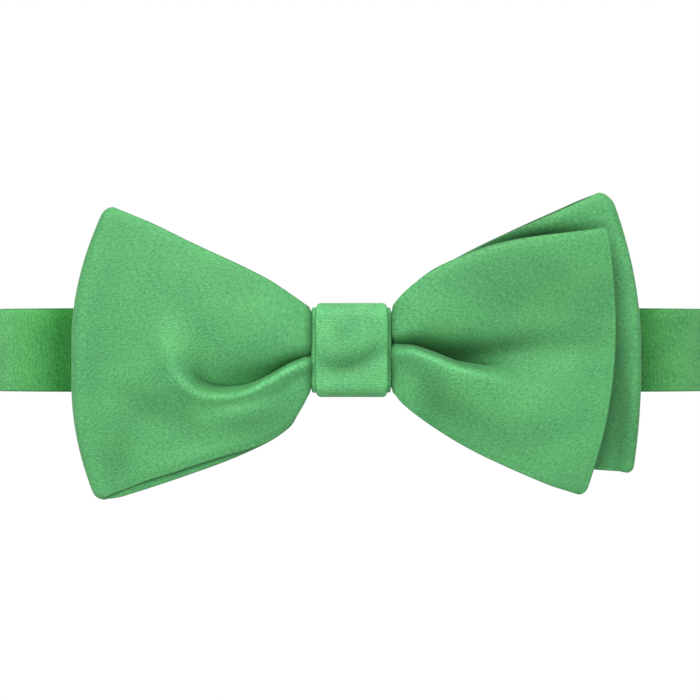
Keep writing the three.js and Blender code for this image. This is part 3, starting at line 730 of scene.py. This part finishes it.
@dataclass(frozen=True)
class Satin:
    """A satin finish: its colours, its grain, ribs and cloudy patches in millimetres, and its gloss.

    The gain is how much the weave changes the tone. The stops of the wings' painted shadow darken the band
    beside the bow, by millimetres out from the knot.
    """

    name: str
    light: Colour
    dark: Colour
    grain_turn: float
    grain_long: float
    grain_wide: float
    rib_pitch: float
    rib_share: float
    patch: float
    rib_turn: float = 0.0
    wing_shadow: Stops = ()
    gain: float = 1.5
    roughness: float = 0.5
    specular: float = 0.2
    sheen: float = 0.1

    def weave(self, graph: ClothGraph, fleck: Socket, patches: Socket) -> Socket:
        """Lays the grain, the flecks and the ribs over one another; the ribs fade in and out by patches.

        Args:
            graph: The material's graph.
            fleck: The flecks' socket.
            patches: The cloudy patches' socket.

        Returns:
            The socket of the weave's height.
        """
        grain = graph.noise(graph.along(self.grain_turn, self.grain_long, self.grain_wide), FINE_LAYERS)
        height = graph.number("MULTIPLY_ADD", fleck, FLECK_SHARE, grain)
        ribs = graph.number("MULTIPLY", graph.ribs(self.rib_turn, self.rib_pitch), patches)
        return graph.number("MULTIPLY_ADD", ribs, 2 * self.rib_share, height)

    def colour(self, graph: ClothGraph, height: Socket, patches: Socket) -> Socket:
        """Mixes the cloth's colour from its weave and its patches, with painted light and shade on its edges
        and folds and, on the band, the wings' painted shadow.

        Args:
            graph: The material's graph.
            height: The socket of the weave's height.
            patches: The cloudy patches' socket.

        Returns:
            The colour's socket.
        """
        level = (1 + FLECK_SHARE + self.rib_share) / 2
        tone = graph.number("MULTIPLY_ADD", height, self.gain, 0.5 - self.gain * level)
        tone = graph.number("ADD", tone, graph.number("MULTIPLY_ADD", patches, PATCH_TONE, -PATCH_TONE / 2))
        hue = graph.number("MULTIPLY_ADD", patches, -PATCH_HUE, SAME_HUE + PATCH_HUE / 2)
        woven = {"Hue": hue, "Color": graph.mix("MIX", tone, self.dark, self.light)}
        colour = graph.add("ShaderNodeHueSaturation", woven).outputs["Color"]
        # Painted light and shade: a painted shade line and highlight along the edges, painted shade in the
        # folds and painted light on the crests, and on the band the wings' painted shadow.
        painted_shades = [
            graph.ramp(graph.attribute("rim"), PAINTED_RIM_SHADING),
            graph.ramp(graph.attribute("fold"), PAINTED_FOLD_SHADING, FOLD_DEEPEN),
        ]
        if self.wing_shadow:
            painted_shades.append(self.paint_wing_shadow(graph))
        for shade in painted_shades:
            colour = graph.mix("MULTIPLY", 1.0, colour, shade)
        return colour

    def paint_wing_shadow(self, graph: ClothGraph) -> Socket:
        """Paints the wings' shadow on the band beside the bow, less and less towards the back of the neck.

        Args:
            graph: The material's graph.

        Returns:
            The shade's colour socket.
        """
        place = graph.nodes.new("ShaderNodeNewGeometry").outputs["Position"]
        parts = graph.add("ShaderNodeSeparateXYZ", {"Vector": place}).outputs
        across = graph.number("MULTIPLY_ADD", parts["X"], 1 / MM, BAND_SHADE_SHIFT)
        behind = graph.number("MULTIPLY_ADD", parts["Y"], BAND_BEHIND / MM, BAND_BEHIND_FROM * BAND_BEHIND)
        away = graph.number("ADD", graph.number("ABSOLUTE", across), graph.number("MAXIMUM", behind, 0.0))
        return graph.ramp(away, self.wing_shadow, BAND_DEEPEN)

    def material(self) -> bpy.types.Material:
        """Makes the finish's material, woven along the cloth's own directions.

        Returns:
            The material.
        """
        graph = ClothGraph(self.name)
        fleck = graph.noise(graph.along(self.grain_turn + FLECK_TURN, FLECK_LONG, FLECK_WIDE), SOFT_LAYERS)
        patches = graph.noise(graph.along(PATCH_TURN, self.patch, self.patch * PATCH_WIDE), SOFT_LAYERS)
        height = self.weave(graph, fleck, patches)
        gloss = graph.number("MULTIPLY_ADD", fleck, -FLECK_GLOSS, self.roughness + FLECK_GLOSS / 2)
        relief = {"Strength": RELIEF_STRENGTH, "Distance": RELIEF_DEPTH * MM, "Height": height}
        graph.feed(graph.shader, {
            "Base Color": self.colour(graph, height, patches),
            "Roughness": gloss,
            "Normal": graph.add("ShaderNodeBump", relief).outputs["Normal"],
            "Specular IOR Level": self.specular,
            "Specular Tint": PALE_GREEN,
            "Sheen Weight": self.sheen,
            "Sheen Roughness": SHEEN_ROUGHNESS,
            "Sheen Tint": PALE_GREEN,
        })
        return graph.material


WING_SATIN = Satin(
    "wing satin", light=(0.105, 0.362, 0.136), dark=(0.031, 0.161, 0.050),
    grain_turn=32.0, grain_long=0.9, grain_wide=0.31, rib_pitch=0.42, rib_share=0.16, patch=16.0,
)
KNOT_SATIN = Satin(
    "knot satin", light=(0.128, 0.424, 0.166), dark=(0.036, 0.186, 0.060),
    grain_turn=76.0, grain_long=0.7, grain_wide=0.27, rib_pitch=0.4, rib_share=0.15, patch=7.0, gain=1.7,
)
BAND_SATIN = Satin(
    "band satin", light=(0.122, 0.422, 0.145), dark=(0.035, 0.183, 0.048),
    grain_turn=48.0, grain_long=0.9, grain_wide=0.3, rib_pitch=0.42, rib_share=0.2, patch=12.0, gain=2.1,
    # The wings' painted shadow on the band beside the bow.
    wing_shadow=((58.0, 0.4), (61.5, 0.46), (64.0, 0.66), (68.6, 0.84), (75.0, 1.0)),
)


def edge_shares(length: float, inner: bool = True) -> Grid:
    """Spaces lines of mesh along a length, closer at its far edge and, if asked, at its near one.

    Args:
        length: The length that the lines cross.
        inner: Whether the near end is an edge too.

    Returns:
        Shares of the length, from 0 to 1.
    """
    near = np.array(EDGE_ROWS) if inner else np.array([0.0])
    far = length - np.array(EDGE_ROWS)[::-1]
    count = max(2, round((far[0] - near[-1]) / MESH_PITCH))
    middle = np.linspace(near[-1], far[0], count + 1)[1:-1]
    return np.concatenate([near, middle, far]) / length


def rounded(distance: Grid, taper: float) -> Grid:
    """Finds the share of the half thickness at a distance in from a pressed, rounded edge.

    Args:
        distance: Distances in from the edge.
        taper: How far in the cloth is thinner.

    Returns:
        Shares of the half thickness, 0 at the edge.
    """
    near = 1 - np.clip(distance / RIM, 0.0, 1.0)
    return np.sqrt(1 - near**2) * (RIM_SHARE + (1 - RIM_SHARE) * smooth(distance / taper))


def travelled(middle: Grid, axis: int) -> Grid:
    """Measures the way along the lines of a grid.

    Args:
        middle: Places in a grid, shaped (lines, rows, 3).
        axis: 0 to go from line to line, 1 from row to row.

    Returns:
        The distance travelled to each place.
    """
    steps = np.linalg.norm(np.diff(middle, axis=axis), axis=2)
    start = np.zeros_like(np.take(steps, [0], axis=axis))
    return np.cumsum(np.concatenate([start, steps], axis=axis), axis=axis)


def sunk(middle: Grid, normal: Grid, closed: bool) -> Grid:
    """Measures how far the cloth lies behind its surroundings, for the painted shade in its folds and the
    painted light on its crests.

    Args:
        middle: The cloth's middle, shaped (lines, rows, 3).
        normal: The direction square to the cloth at each place.
        closed: Whether the last line meets the first.

    Returns:
        The sunken depth of each place, below zero where the cloth stands out.
    """
    reach = math.ceil(BELL_CUT * FOLD_REACH / MESH_PITCH)
    bell = np.exp(-(((np.arange(-reach, reach + 1) * MESH_PITCH) / FOLD_REACH) ** 2))
    bell /= bell.sum()
    ends = {"mode": "wrap"} if closed else {"mode": "reflect", "reflect_type": "odd"}
    mean = np.pad(middle, ((reach, reach), (0, 0), (0, 0)), **ends)
    mean = np.apply_along_axis(np.convolve, 0, mean, bell, mode="valid")
    mean = np.pad(mean, ((0, 0), (reach, reach), (0, 0)), mode="reflect", reflect_type="odd")
    mean = np.apply_along_axis(np.convolve, 1, mean, bell, mode="valid")
    depth = np.einsum("ijk,ijk->ij", mean - middle, normal)
    if closed:
        outward = np.einsum("ijk,ijk->", middle - middle.mean(axis=(0, 1)), normal)
    else:
        outward = -normal[: len(normal) // 3, :, 1].sum()
    return depth * np.sign(outward)


def cloth_piece(
    name: str,
    middle: Grid,
    thick: float,
    closed: bool,
    taper: float = RIM_TAPER,
    way: int = 1,
    shade: Grid | float = 0.0,
) -> bpy.types.Object:
    """Makes a cloth wall round a grid of places, its free edges rounded.

    Args:
        name: Name of the piece.
        middle: The cloth's middle, shaped (lines, rows, 3), in millimetres.
        thick: The cloth's thickness.
        closed: Whether the last line meets the first.
        taper: How far in from its edges the cloth is thinner.
        way: 1 where the lines go the way of the weave, -1 where they go against it.
        shade: The painted shade added at each place beyond what the folds' own shape gives, painted light
            where below zero.

    Returns:
        The piece, with its cloth directions in millimetres as a UV map.
    """
    lines, rows = middle.shape[:2]
    grown = np.concatenate([middle, middle[:1]]) if closed else middle
    along = travelled(grown, 0)
    across = travelled(grown, 1)
    before = np.roll(middle, 1, axis=0) if closed else np.concatenate([middle[:1], middle[:-1]])
    after = np.roll(middle, -1, axis=0) if closed else np.concatenate([middle[1:], middle[-1:]])
    normal = np.cross(after - before, np.gradient(middle, axis=1))
    normal /= np.linalg.norm(normal, axis=2, keepdims=True)
    edge = np.minimum(across, across[:, -1:] - across)[:lines]
    share = rounded(edge, taper)
    if not closed:
        ends = np.minimum(along, along[-1:] - along)
        edge = np.minimum(edge, ends)
        share = share * rounded(ends, taper)
        share[0, :] = share[-1, :] = 0.0
    share[:, 0] = share[:, -1] = 0.0
    outer = middle + normal * (thick / 2 * share)[..., None]
    inner = middle - normal * (thick / 2 * share)[..., None]

    front = np.arange(lines * rows).reshape(lines, rows)
    inside = share > 0
    back = front.copy()
    back[inside] = lines * rows + np.arange(int(inside.sum()))
    points = np.concatenate([outer.reshape(-1, 3), inner[inside]]) * MM
    i, j = np.meshgrid(np.arange(lines if closed else lines - 1), np.arange(rows - 1), indexing="ij")
    i, j = i.ravel(), j.ravel()
    ring = np.stack([i, i + 1, i + 1, i], axis=1)
    rung = np.stack([j, j, j + 1, j + 1], axis=1)
    faces = np.concatenate([front[ring % lines, rung], back[ring % lines, rung][:, ::-1]])
    ring = np.concatenate([ring, ring[:, ::-1]])
    rung = np.concatenate([rung, rung[:, ::-1]])
    corners = points[faces]
    volume = np.einsum("ij,ij->", corners[:, 0], np.cross(corners[:, 1], corners[:, 2]))
    if volume < 0:
        faces, ring, rung = faces[:, ::-1], ring[:, ::-1], rung[:, ::-1]
    centred = across - across[:, [rows // 2]]
    cloth = np.stack([way * along[ring, rung], centred[ring, rung]], axis=-1)
    # The fold mark: painted shade in the folds and painted light on the crests, from the sunken depth and the
    # added painted shade.
    fold = sunk(middle, normal, closed) + shade
    marks = {kept: np.concatenate([at.ravel(), at[inside]]) for kept, at in (("fold", fold), ("rim", edge))}
    return mesh_piece(name, points, faces, cloth, marks)


def mesh_piece(name: str, points: Grid, faces: Grid, cloth: Grid, marks: dict[str, Grid]) -> bpy.types.Object:
    """Makes a smooth piece of four-sided faces.

    Args:
        name: Name of the piece.
        points: Its vertices, in metres.
        faces: The vertices' numbers at each face's corners.
        cloth: Each corner's place on the cloth, for the UV map.
        marks: Numbers kept at each vertex, by the attribute's name.

    Returns:
        The piece.
    """
    mesh = bpy.data.meshes.new(name)
    mesh.vertices.add(len(points))
    mesh.vertices.foreach_set("co", points.ravel())
    mesh.loops.add(faces.size)
    mesh.loops.foreach_set("vertex_index", np.ascontiguousarray(faces).ravel())
    mesh.polygons.add(len(faces))
    mesh.polygons.foreach_set("loop_start", np.arange(len(faces)) * 4)
    for kept, values in marks.items():
        mesh.attributes.new(kept, "FLOAT", "POINT").data.foreach_set("value", values)
    mesh.uv_layers.new(name="cloth").data.foreach_set("uv", cloth.ravel())
    mesh.update(calc_edges=True)
    mesh.shade_smooth()
    piece = bpy.data.objects.new(name, mesh)
    bpy.context.collection.objects.link(piece)
    return piece


def settle(piece: bpy.types.Object, node: str, finish: Satin) -> None:
    """Dresses a piece, and puts it in place of its node.

    Args:
        piece: The piece.
        node: The node that it stands for.
        finish: The finish of its cloth.
    """
    piece.data.materials.append(finish.material())
    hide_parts(node)
    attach(piece, "root")


@dataclass
class FlatEnd:
    """A flat cut end of the bow: a single ply, gathered into the knot."""

    node: str
    side: Side
    edge: OuterEdge
    front: Ply
    cut_width: float
    cut_length: float
    cut_area: float

    def heights(self, out: Grid, face: Grid, share: Grid) -> Grid:
        """Finds the heights of the cloth's rows, before the roll laps up."""
        return self.front.row_height(out, share) * face

    def depths(self, out: Grid, face: Grid, height: Grid) -> Grid:
        """Finds the depths of the cloth; the face is 1 everywhere on a single ply."""
        return self.front.surface(self.side, out, height) * face

    def places(self, out: Grid, face: Grid) -> Grid:
        """Finds places on the wing, drawn in at its outer edge.

        Args:
            out: Distances out from the knot, one for each line.
            face: 1 on the front ply, 0 at the middle of a fold and -1 on the back ply, for each line.

        Returns:
            Places in a grid, shaped (lines, rows, 3).
        """
        out, face, share = out[:, None], face[:, None], self.rows()[None, :]
        height = self.heights(out, face, share)
        ends = self.front.row_height(np.array([[self.edge.reach]]), share)
        inset = self.edge.inset(ends, float(ends.max()), float(ends.min()))
        part = (out - START) / (self.edge.reach - START)
        x = self.side.value * (out - inset * part**EDGE_EASE)
        lifted = height + self.front.lap(out, np.where(face > 0, height, np.inf))
        return np.stack(np.broadcast_arrays(x, KNOT_Y - self.depths(out, face, height), lifted), axis=-1)

    def rows(self) -> Grid:
        """Spaces the rows of cloth, from the bottom edge to the top.

        Returns:
            Each row's share of the way up.
        """
        reach = np.array([self.edge.reach])
        tall = float(self.front.read("top", reach)[0] - self.front.read("bottom", reach)[0])
        return edge_shares(tall)

    def middle(self) -> Grid:
        """Lays out the cloth's middle, line by line out from the knot.

        Returns:
            Places in a grid, shaped (lines, rows, 3).
        """
        length = self.edge.reach - START
        out = START + edge_shares(length) * length
        return self.places(out, np.ones_like(out))

    def shade(self, middle: Grid) -> Grid:
        """Finds the painted shade added to the folds beyond what their shape gives, or painted light where
        below zero.

        Args:
            middle: The cloth's middle, shaped (lines, rows, 3).

        Returns:
            The added painted shade of each place.
        """
        x, height = middle[..., 0], middle[..., 2]
        over = self.rows() >= CREASE_SHARE
        return summed(self.front.painted_shades, x, height) + summed(self.front.hollow_painted_shades, x, height) * over

    def build(self) -> bpy.types.Object:
        """Builds and dresses the end.

        Returns:
            The piece.
        """
        middle = self.middle()
        piece = cloth_piece(
            f"{self.node}_cloth", middle, WING_CLOTH, closed=False,
            way=self.side.value, shade=self.shade(middle),
        )
        settle(piece, self.node, WING_SATIN)
        return piece


@dataclass
class FoldedLoop(FlatEnd):
    """A folded loop of the bow: one ply out, round a soft fold, and back."""

    back: Ply
    turn: float
    fold_depth: float
    pressed: float = 0.0
    gape_painted_shade: float = 0.0

    def heights(self, out: Grid, face: Grid, share: Grid) -> Grid:
        """Finds the heights of either ply's rows, and between them on the fold."""
        part = (1 + face) / 2
        return self.front.row_height(out, share) * part + self.back.row_height(out, share) * (1 - part)

    def depths(self, out: Grid, face: Grid, height: Grid) -> Grid:
        """Finds the depths of either ply and of the fold between them.

        Args:
            out: Distances out from the knot.
            face: 1 on the front ply, 0 at the middle of the fold and -1 on the back ply.
            height: Heights.

        Returns:
            The depth at each place.
        """
        before = self.front.surface(self.side, out, height)
        behind = self.back.surface(self.side, out, height)
        if self.pressed:
            lowest = self.front.read("bottom", out)
            nearest = self.front.surface(self.side, out, lowest) - PRESSED_GAP
            near = self.pressed * np.exp(-((np.maximum(height - lowest, 0.0) / PRESSED_REACH) ** 2))
            behind = behind + (nearest - behind) * near
        flat = np.where(face >= 0, before, behind)
        return self.fold_depth + np.abs(face) * (flat - self.fold_depth)

    def middle(self) -> Grid:
        """Lays out the cloth's middle, out along the front ply, round the fold and back.

        Returns:
            Places in a grid, shaped (lines, rows, 3).
        """
        length = self.edge.reach - self.turn - START
        count = round(length / MESH_PITCH)
        out = START + np.linspace(0.0, length, count + 1)
        turns = np.linspace(0.0, math.pi, FOLD_STEPS + 1)[1:-1]
        return self.places(
            np.concatenate([out, self.edge.reach - self.turn + self.turn * np.sin(turns), out[::-1]]),
            np.concatenate([np.ones_like(out), np.cos(turns), -np.ones_like(out)]),
        )

    def shade(self, middle: Grid) -> Grid:
        """Keeps the added painted shade to the front ply, and paints shade along the top of the back ply
        where the loop gapes.

        Args:
            middle: The cloth's middle, shaped (lines, rows, 3).

        Returns:
            The added painted shade of each place.
        """
        in_front = (np.arange(len(middle)) < len(middle) // 2)[:, None]
        below_top = middle[:, -1:, 2] - middle[..., 2]
        # Painted shade along the back ply's top edge, where it shows over the front ply.
        behind = self.gape_painted_shade * np.exp(-((below_top / GAPE_REACH) ** 2))
        return np.where(in_front, super().shade(middle), behind)


@dataclass
class KnotPly:
    """One ply of the knot: a ring of cloth round the waist of the bow."""

    node: str
    half_height: float
    half_depth: float
    corner: float
    left: float
    right: float
    pull: float
    crown: float = 0.0
    flare: float = 0.0
    ridges: tuple[Ridge, ...] = ()
    painted_shades: tuple[Ridge, ...] = ()

    def section(self) -> Grid:
        """Follows the ring's oblong, seen from the side, from the back round over the front.

        Returns:
            Depths and heights, shaped (lines, 2).
        """
        depth = self.half_depth - KNOT_CLOTH / 2
        height = self.half_height - KNOT_CLOTH / 2
        arc = np.linspace(0.0, math.pi / 2, CORNER_LINES)
        corners = []
        for quarter, (way, rise) in enumerate(((1, 1), (-1, 1), (-1, -1), (1, -1))):
            angle = arc + quarter * math.pi / 2
            across = way * (depth - self.corner) + self.corner * np.cos(angle)
            up = rise * (height - self.corner) + self.corner * np.sin(angle)
            corners.append(np.stack([across, up], axis=1))
        ring = np.concatenate(corners)
        spaced = []
        for here, there in zip(ring, np.roll(ring, -1, axis=0)):
            steps = max(1, round(float(np.linalg.norm(there - here)) / MESH_PITCH))
            spaced.extend(here + (there - here) * k / steps for k in range(steps))
        return np.roll(np.array(spaced), -len(spaced) // 2, axis=0)

    def middle(self) -> Grid:
        """Lays out the ring's cloth, its edges pulled in over the top and bottom.

        Returns:
            Places in a grid, shaped (lines, rows, 3).
        """
        section = self.section()
        depth, height = section[:, :1], section[:, 1:]
        share = edge_shares(self.right - self.left)[None, :]
        level = height / self.half_height
        pull = self.pull * np.abs(level) ** PULL_POWER
        x = self.left + pull + (self.right - self.left - 2 * pull) * share
        swell = self.crown * (1 - (2 * share - 1) ** 2) * (1 - level**2)
        swell = swell + summed(self.ridges, x, height) * (1 - level**4)
        outside = smooth((np.abs(x) - KNOT_STRIP) / KNOT_STRIP_EASE)
        rise = self.flare * outside * level * np.abs(level)
        swell = np.where(depth > 0, swell, 0.0)
        return np.stack(np.broadcast_arrays(x, KNOT_Y - depth - swell, height + rise), axis=-1)

    def build(self) -> bpy.types.Object:
        """Builds and dresses the ply.

        Returns:
            The piece.
        """
        middle = self.middle()
        # Painted shade on the knot's front, along its diagonal crease and over its lower half.
        shade = summed(self.painted_shades, middle[..., 0], middle[..., 2]) * (middle[..., 1] < KNOT_Y)
        piece = cloth_piece(
            f"{self.node}_cloth", middle, KNOT_CLOTH, closed=True, taper=KNOT_TAPER, shade=shade
        )
        settle(piece, self.node, KNOT_SATIN)
        return piece


@dataclass
class Neckband:
    """The strap round the neck: a closed loop, narrowed where the knot grips it."""

    half_width: float = 82.0
    front_reach: float = 44.0
    back_reach: float = 54.0
    front_power: float = 3.0
    back_power: float = 2.1
    half_height: float = 9.0
    waist: float = 6.4
    waist_end: float = 9.0
    full_from: float = 20.0
    steps: int = 640

    def middle(self) -> Grid:
        """Lays out the strap's cloth round the neck, as two half ovals.

        Returns:
            Places in a grid, shaped (lines, rows, 3).
        """
        angle = (2 * math.pi * np.arange(self.steps) / self.steps - math.pi / 2)[:, None]
        front = np.sin(angle) < 0
        power = np.where(front, self.front_power, self.back_power)
        sideways = np.abs(np.cos(angle) / self.half_width) ** power
        lengthways = np.abs(np.sin(angle) / np.where(front, self.front_reach, self.back_reach)) ** power
        radius = (sideways + lengthways) ** (-1 / power)
        x, y = radius * np.cos(angle), radius * np.sin(angle)
        wide = smooth((np.abs(x) - self.waist_end) / (self.full_from - self.waist_end))
        half = self.waist + (self.half_height - self.waist) * np.where(front, wide, 1.0)
        share = edge_shares(2 * self.half_height)[None, :]
        return np.stack(np.broadcast_arrays(x, y, (2 * share - 1) * half), axis=-1)

    def build(self) -> bpy.types.Object:
        """Builds and dresses the strap.

        Returns:
            The piece.
        """
        middle = self.middle()
        piece = cloth_piece("neckband_cloth", middle, BAND_CLOTH, closed=True)
        settle(piece, "neckband", BAND_SATIN)
        return piece


# The whiteness of the studio at heights from straight down, -1, to straight up, 1: a white band all round
# behind the tie, and dimmer walls that let the folds of the cloth show.
SKY_BANDS = ((-1.0, 0.34), (-0.22, 0.3), (-0.18, 1.0), (0.11, 1.0), (0.14, 0.3), (0.6, 0.3), (1.0, 0.9))


@dataclass(frozen=True)
class Lamp:
    """A soft square lamp that faces the bow: its place and side in metres, and its power in watts."""

    name: str
    place: tuple[float, float, float]
    side: float
    power: float

    def build(self) -> None:
        """Hangs the lamp, out of the camera's sight."""
        light = bpy.data.lights.new(self.name, "AREA")
        light.shape = "SQUARE"
        light.size = self.side
        light.energy = self.power
        lamp = bpy.data.objects.new(self.name, light)
        lamp.location = self.place
        aim = Vector((0.0, KNOT_Y * MM, 0.0)) - lamp.location
        lamp.rotation_euler = aim.to_track_quat("-Z", "Y").to_euler()
        lamp.visible_camera = False
        bpy.context.collection.objects.link(lamp)


@dataclass(frozen=True)
class Studio:
    """A pale floor far below the tie, soft white light from all round, and the camera.

    The floor's sizes are in metres. The camera's frame is so wide at a depth just in front of the knot.
    """

    floor_drop: float = 1.45
    floor_radius: float = 12.0
    floor_white: float = 0.8
    floor_roughness: float = 0.9
    floor_glow: float = 0.12
    frame_width: float = 147.0
    focus_depth: float = 8.0
    camera_shift: float = -0.3
    lens: float = 200.0
    sensor: float = 36.0
    sight: float = 100.0
    lamps: tuple[Lamp, ...] = (
        Lamp("key lamp", (-0.4, -1.2, 0.75), 0.9, 27.0),
        Lamp("fill lamp", (0.7, -1.2, 0.5), 0.9, 5.0),
        Lamp("back lamp", (0.3, 1.6, 0.7), 2.0, 15.0),
    )

    def floor(self) -> None:
        """Lays the pale floor."""
        bpy.ops.mesh.primitive_circle_add(
            vertices=64, radius=self.floor_radius, fill_type="NGON", location=(0, 0, -self.floor_drop)
        )
        floor = bpy.context.object
        floor.name = "floor"
        material = bpy.data.materials.new("pale floor")
        material.use_nodes = True
        graph = Graph(material.node_tree)
        graph.feed(graph.nodes["Principled BSDF"], {
            "Base Color": (self.floor_white,) * 3,
            "Roughness": self.floor_roughness,
            "Emission Color": (1.0, 1.0, 1.0),
            "Emission Strength": self.floor_glow,
        })
        floor.data.materials.append(material)

    def sky(self) -> None:
        """Lights the scene from all round, white and even."""
        world = bpy.data.worlds.new("white studio")
        world.use_nodes = True
        graph = Graph(world.node_tree)
        way = graph.nodes.new("ShaderNodeTexCoord").outputs["Generated"]
        rise = graph.add("ShaderNodeSeparateXYZ", {"Vector": way}).outputs["Z"]
        graph.feed(graph.nodes["Background"], {"Color": graph.ramp(rise, SKY_BANDS)})
        bpy.context.scene.world = world

    def camera(self) -> None:
        """Sets the camera level with the knot, as far off as the photograph's flat view asks."""
        data = bpy.data.cameras.new("camera")
        data.lens = self.lens
        data.sensor_width = self.sensor
        data.clip_end = self.sight
        camera = bpy.data.objects.new("camera", data)
        away = self.frame_width * self.lens / self.sensor
        camera.location = (self.camera_shift * MM, (KNOT_Y - self.focus_depth - away) * MM, 0.0)
        camera.rotation_euler = (math.pi / 2, 0.0, 0.0)
        bpy.context.collection.objects.link(camera)
        bpy.context.scene.camera = camera

    def build(self) -> None:
        """Builds the studio round the tie."""
        self.floor()
        self.sky()
        for lamp in self.lamps:
            lamp.build()
        self.camera()
        bpy.context.scene.view_settings.view_transform = "Standard"


def main() -> None:
    """Builds the bow tie piece by piece, and the studio round it."""
    logging.basicConfig(level=logging.INFO, format="%(message)s")
    log = logging.getLogger("bow tie")
    parts = (
        Neckband(),
        KnotPly(
            "knot_outer_ply", half_height=9.92, half_depth=KNOT_HALF_DEPTH, corner=2.4,
            left=-7.7, right=7.8, pull=0.8, crown=0.5, ridges=KNOT_RIDGES, painted_shades=KNOT_PAINTED_SHADE,
        ),
        KnotPly(
            "knot_inner_ply", half_height=8.36, half_depth=7.05, corner=1.4,
            left=-8.5, right=8.4, pull=0.3, flare=0.9,
        ),
        FoldedLoop(
            "front_loop", Side.LEFT,
            OuterEdge(
                reach=58.4, straight_top=2.0, straight_bottom=-8.0,
                top_inset=7.0, bottom_inset=5.0, top_corner=1.8, bottom_corner=1.7,
            ),
            Ply(
                FRONT_LOOP_SECTIONS, FRONT_LOOP_DENTS, FRONT_LOOP_RIDGES,
                FRONT_LOOP_PAINTED_SHADE, FRONT_LOOP_HOLLOW_PAINTED_SHADE,
            ),
            cut_width=64.0, cut_length=121.0, cut_area=5200.0,
            back=Ply(FRONT_LOOP_BACK_SECTIONS), turn=1.7, fold_depth=5.3, pressed=1.0,
        ),
        FlatEnd(
            "front_end", Side.RIGHT,
            OuterEdge(
                reach=55.6, straight_top=4.0, straight_bottom=4.0,
                top_inset=1.7, bottom_inset=6.4, top_corner=0.9, bottom_corner=1.5,
            ),
            Ply(FRONT_END_SECTIONS, FRONT_END_DENTS, (), FRONT_END_PAINTED_SHADE, FRONT_END_HOLLOW_PAINTED_SHADE),
            cut_width=60.0, cut_length=57.0, cut_area=2450.0,
        ),
        FoldedLoop(
            "back_loop", Side.RIGHT,
            OuterEdge(
                reach=60.8, straight_top=1.0, straight_bottom=-5.0,
                top_inset=6.5, bottom_inset=1.7, top_corner=2.7, bottom_corner=1.0,
            ),
            Ply(BACK_LOOP_SECTIONS, (), BACK_LOOP_RIDGES, BACK_LOOP_PAINTED_SHADE),
            cut_width=64.0, cut_length=125.0, cut_area=5300.0,
            back=Ply(BACK_LOOP_BACK_SECTIONS), turn=1.6, fold_depth=0.7, gape_painted_shade=1.2,
        ),
        FlatEnd(
            "back_end", Side.LEFT,
            OuterEdge(
                reach=53.6, straight_top=4.0, straight_bottom=0.0,
                top_inset=1.8, bottom_inset=5.0, top_corner=0.9, bottom_corner=1.5,
            ),
            Ply(BACK_END_SECTIONS),
            cut_width=55.0, cut_length=55.0, cut_area=2150.0,
        ),
    )
    for part in parts:
        piece = part.build()
        log.info("%s: %d faces", piece.name, len(piece.data.polygons))
    Studio().build()
    log.info("studio ready")


if __name__ == "__main__":
    main()
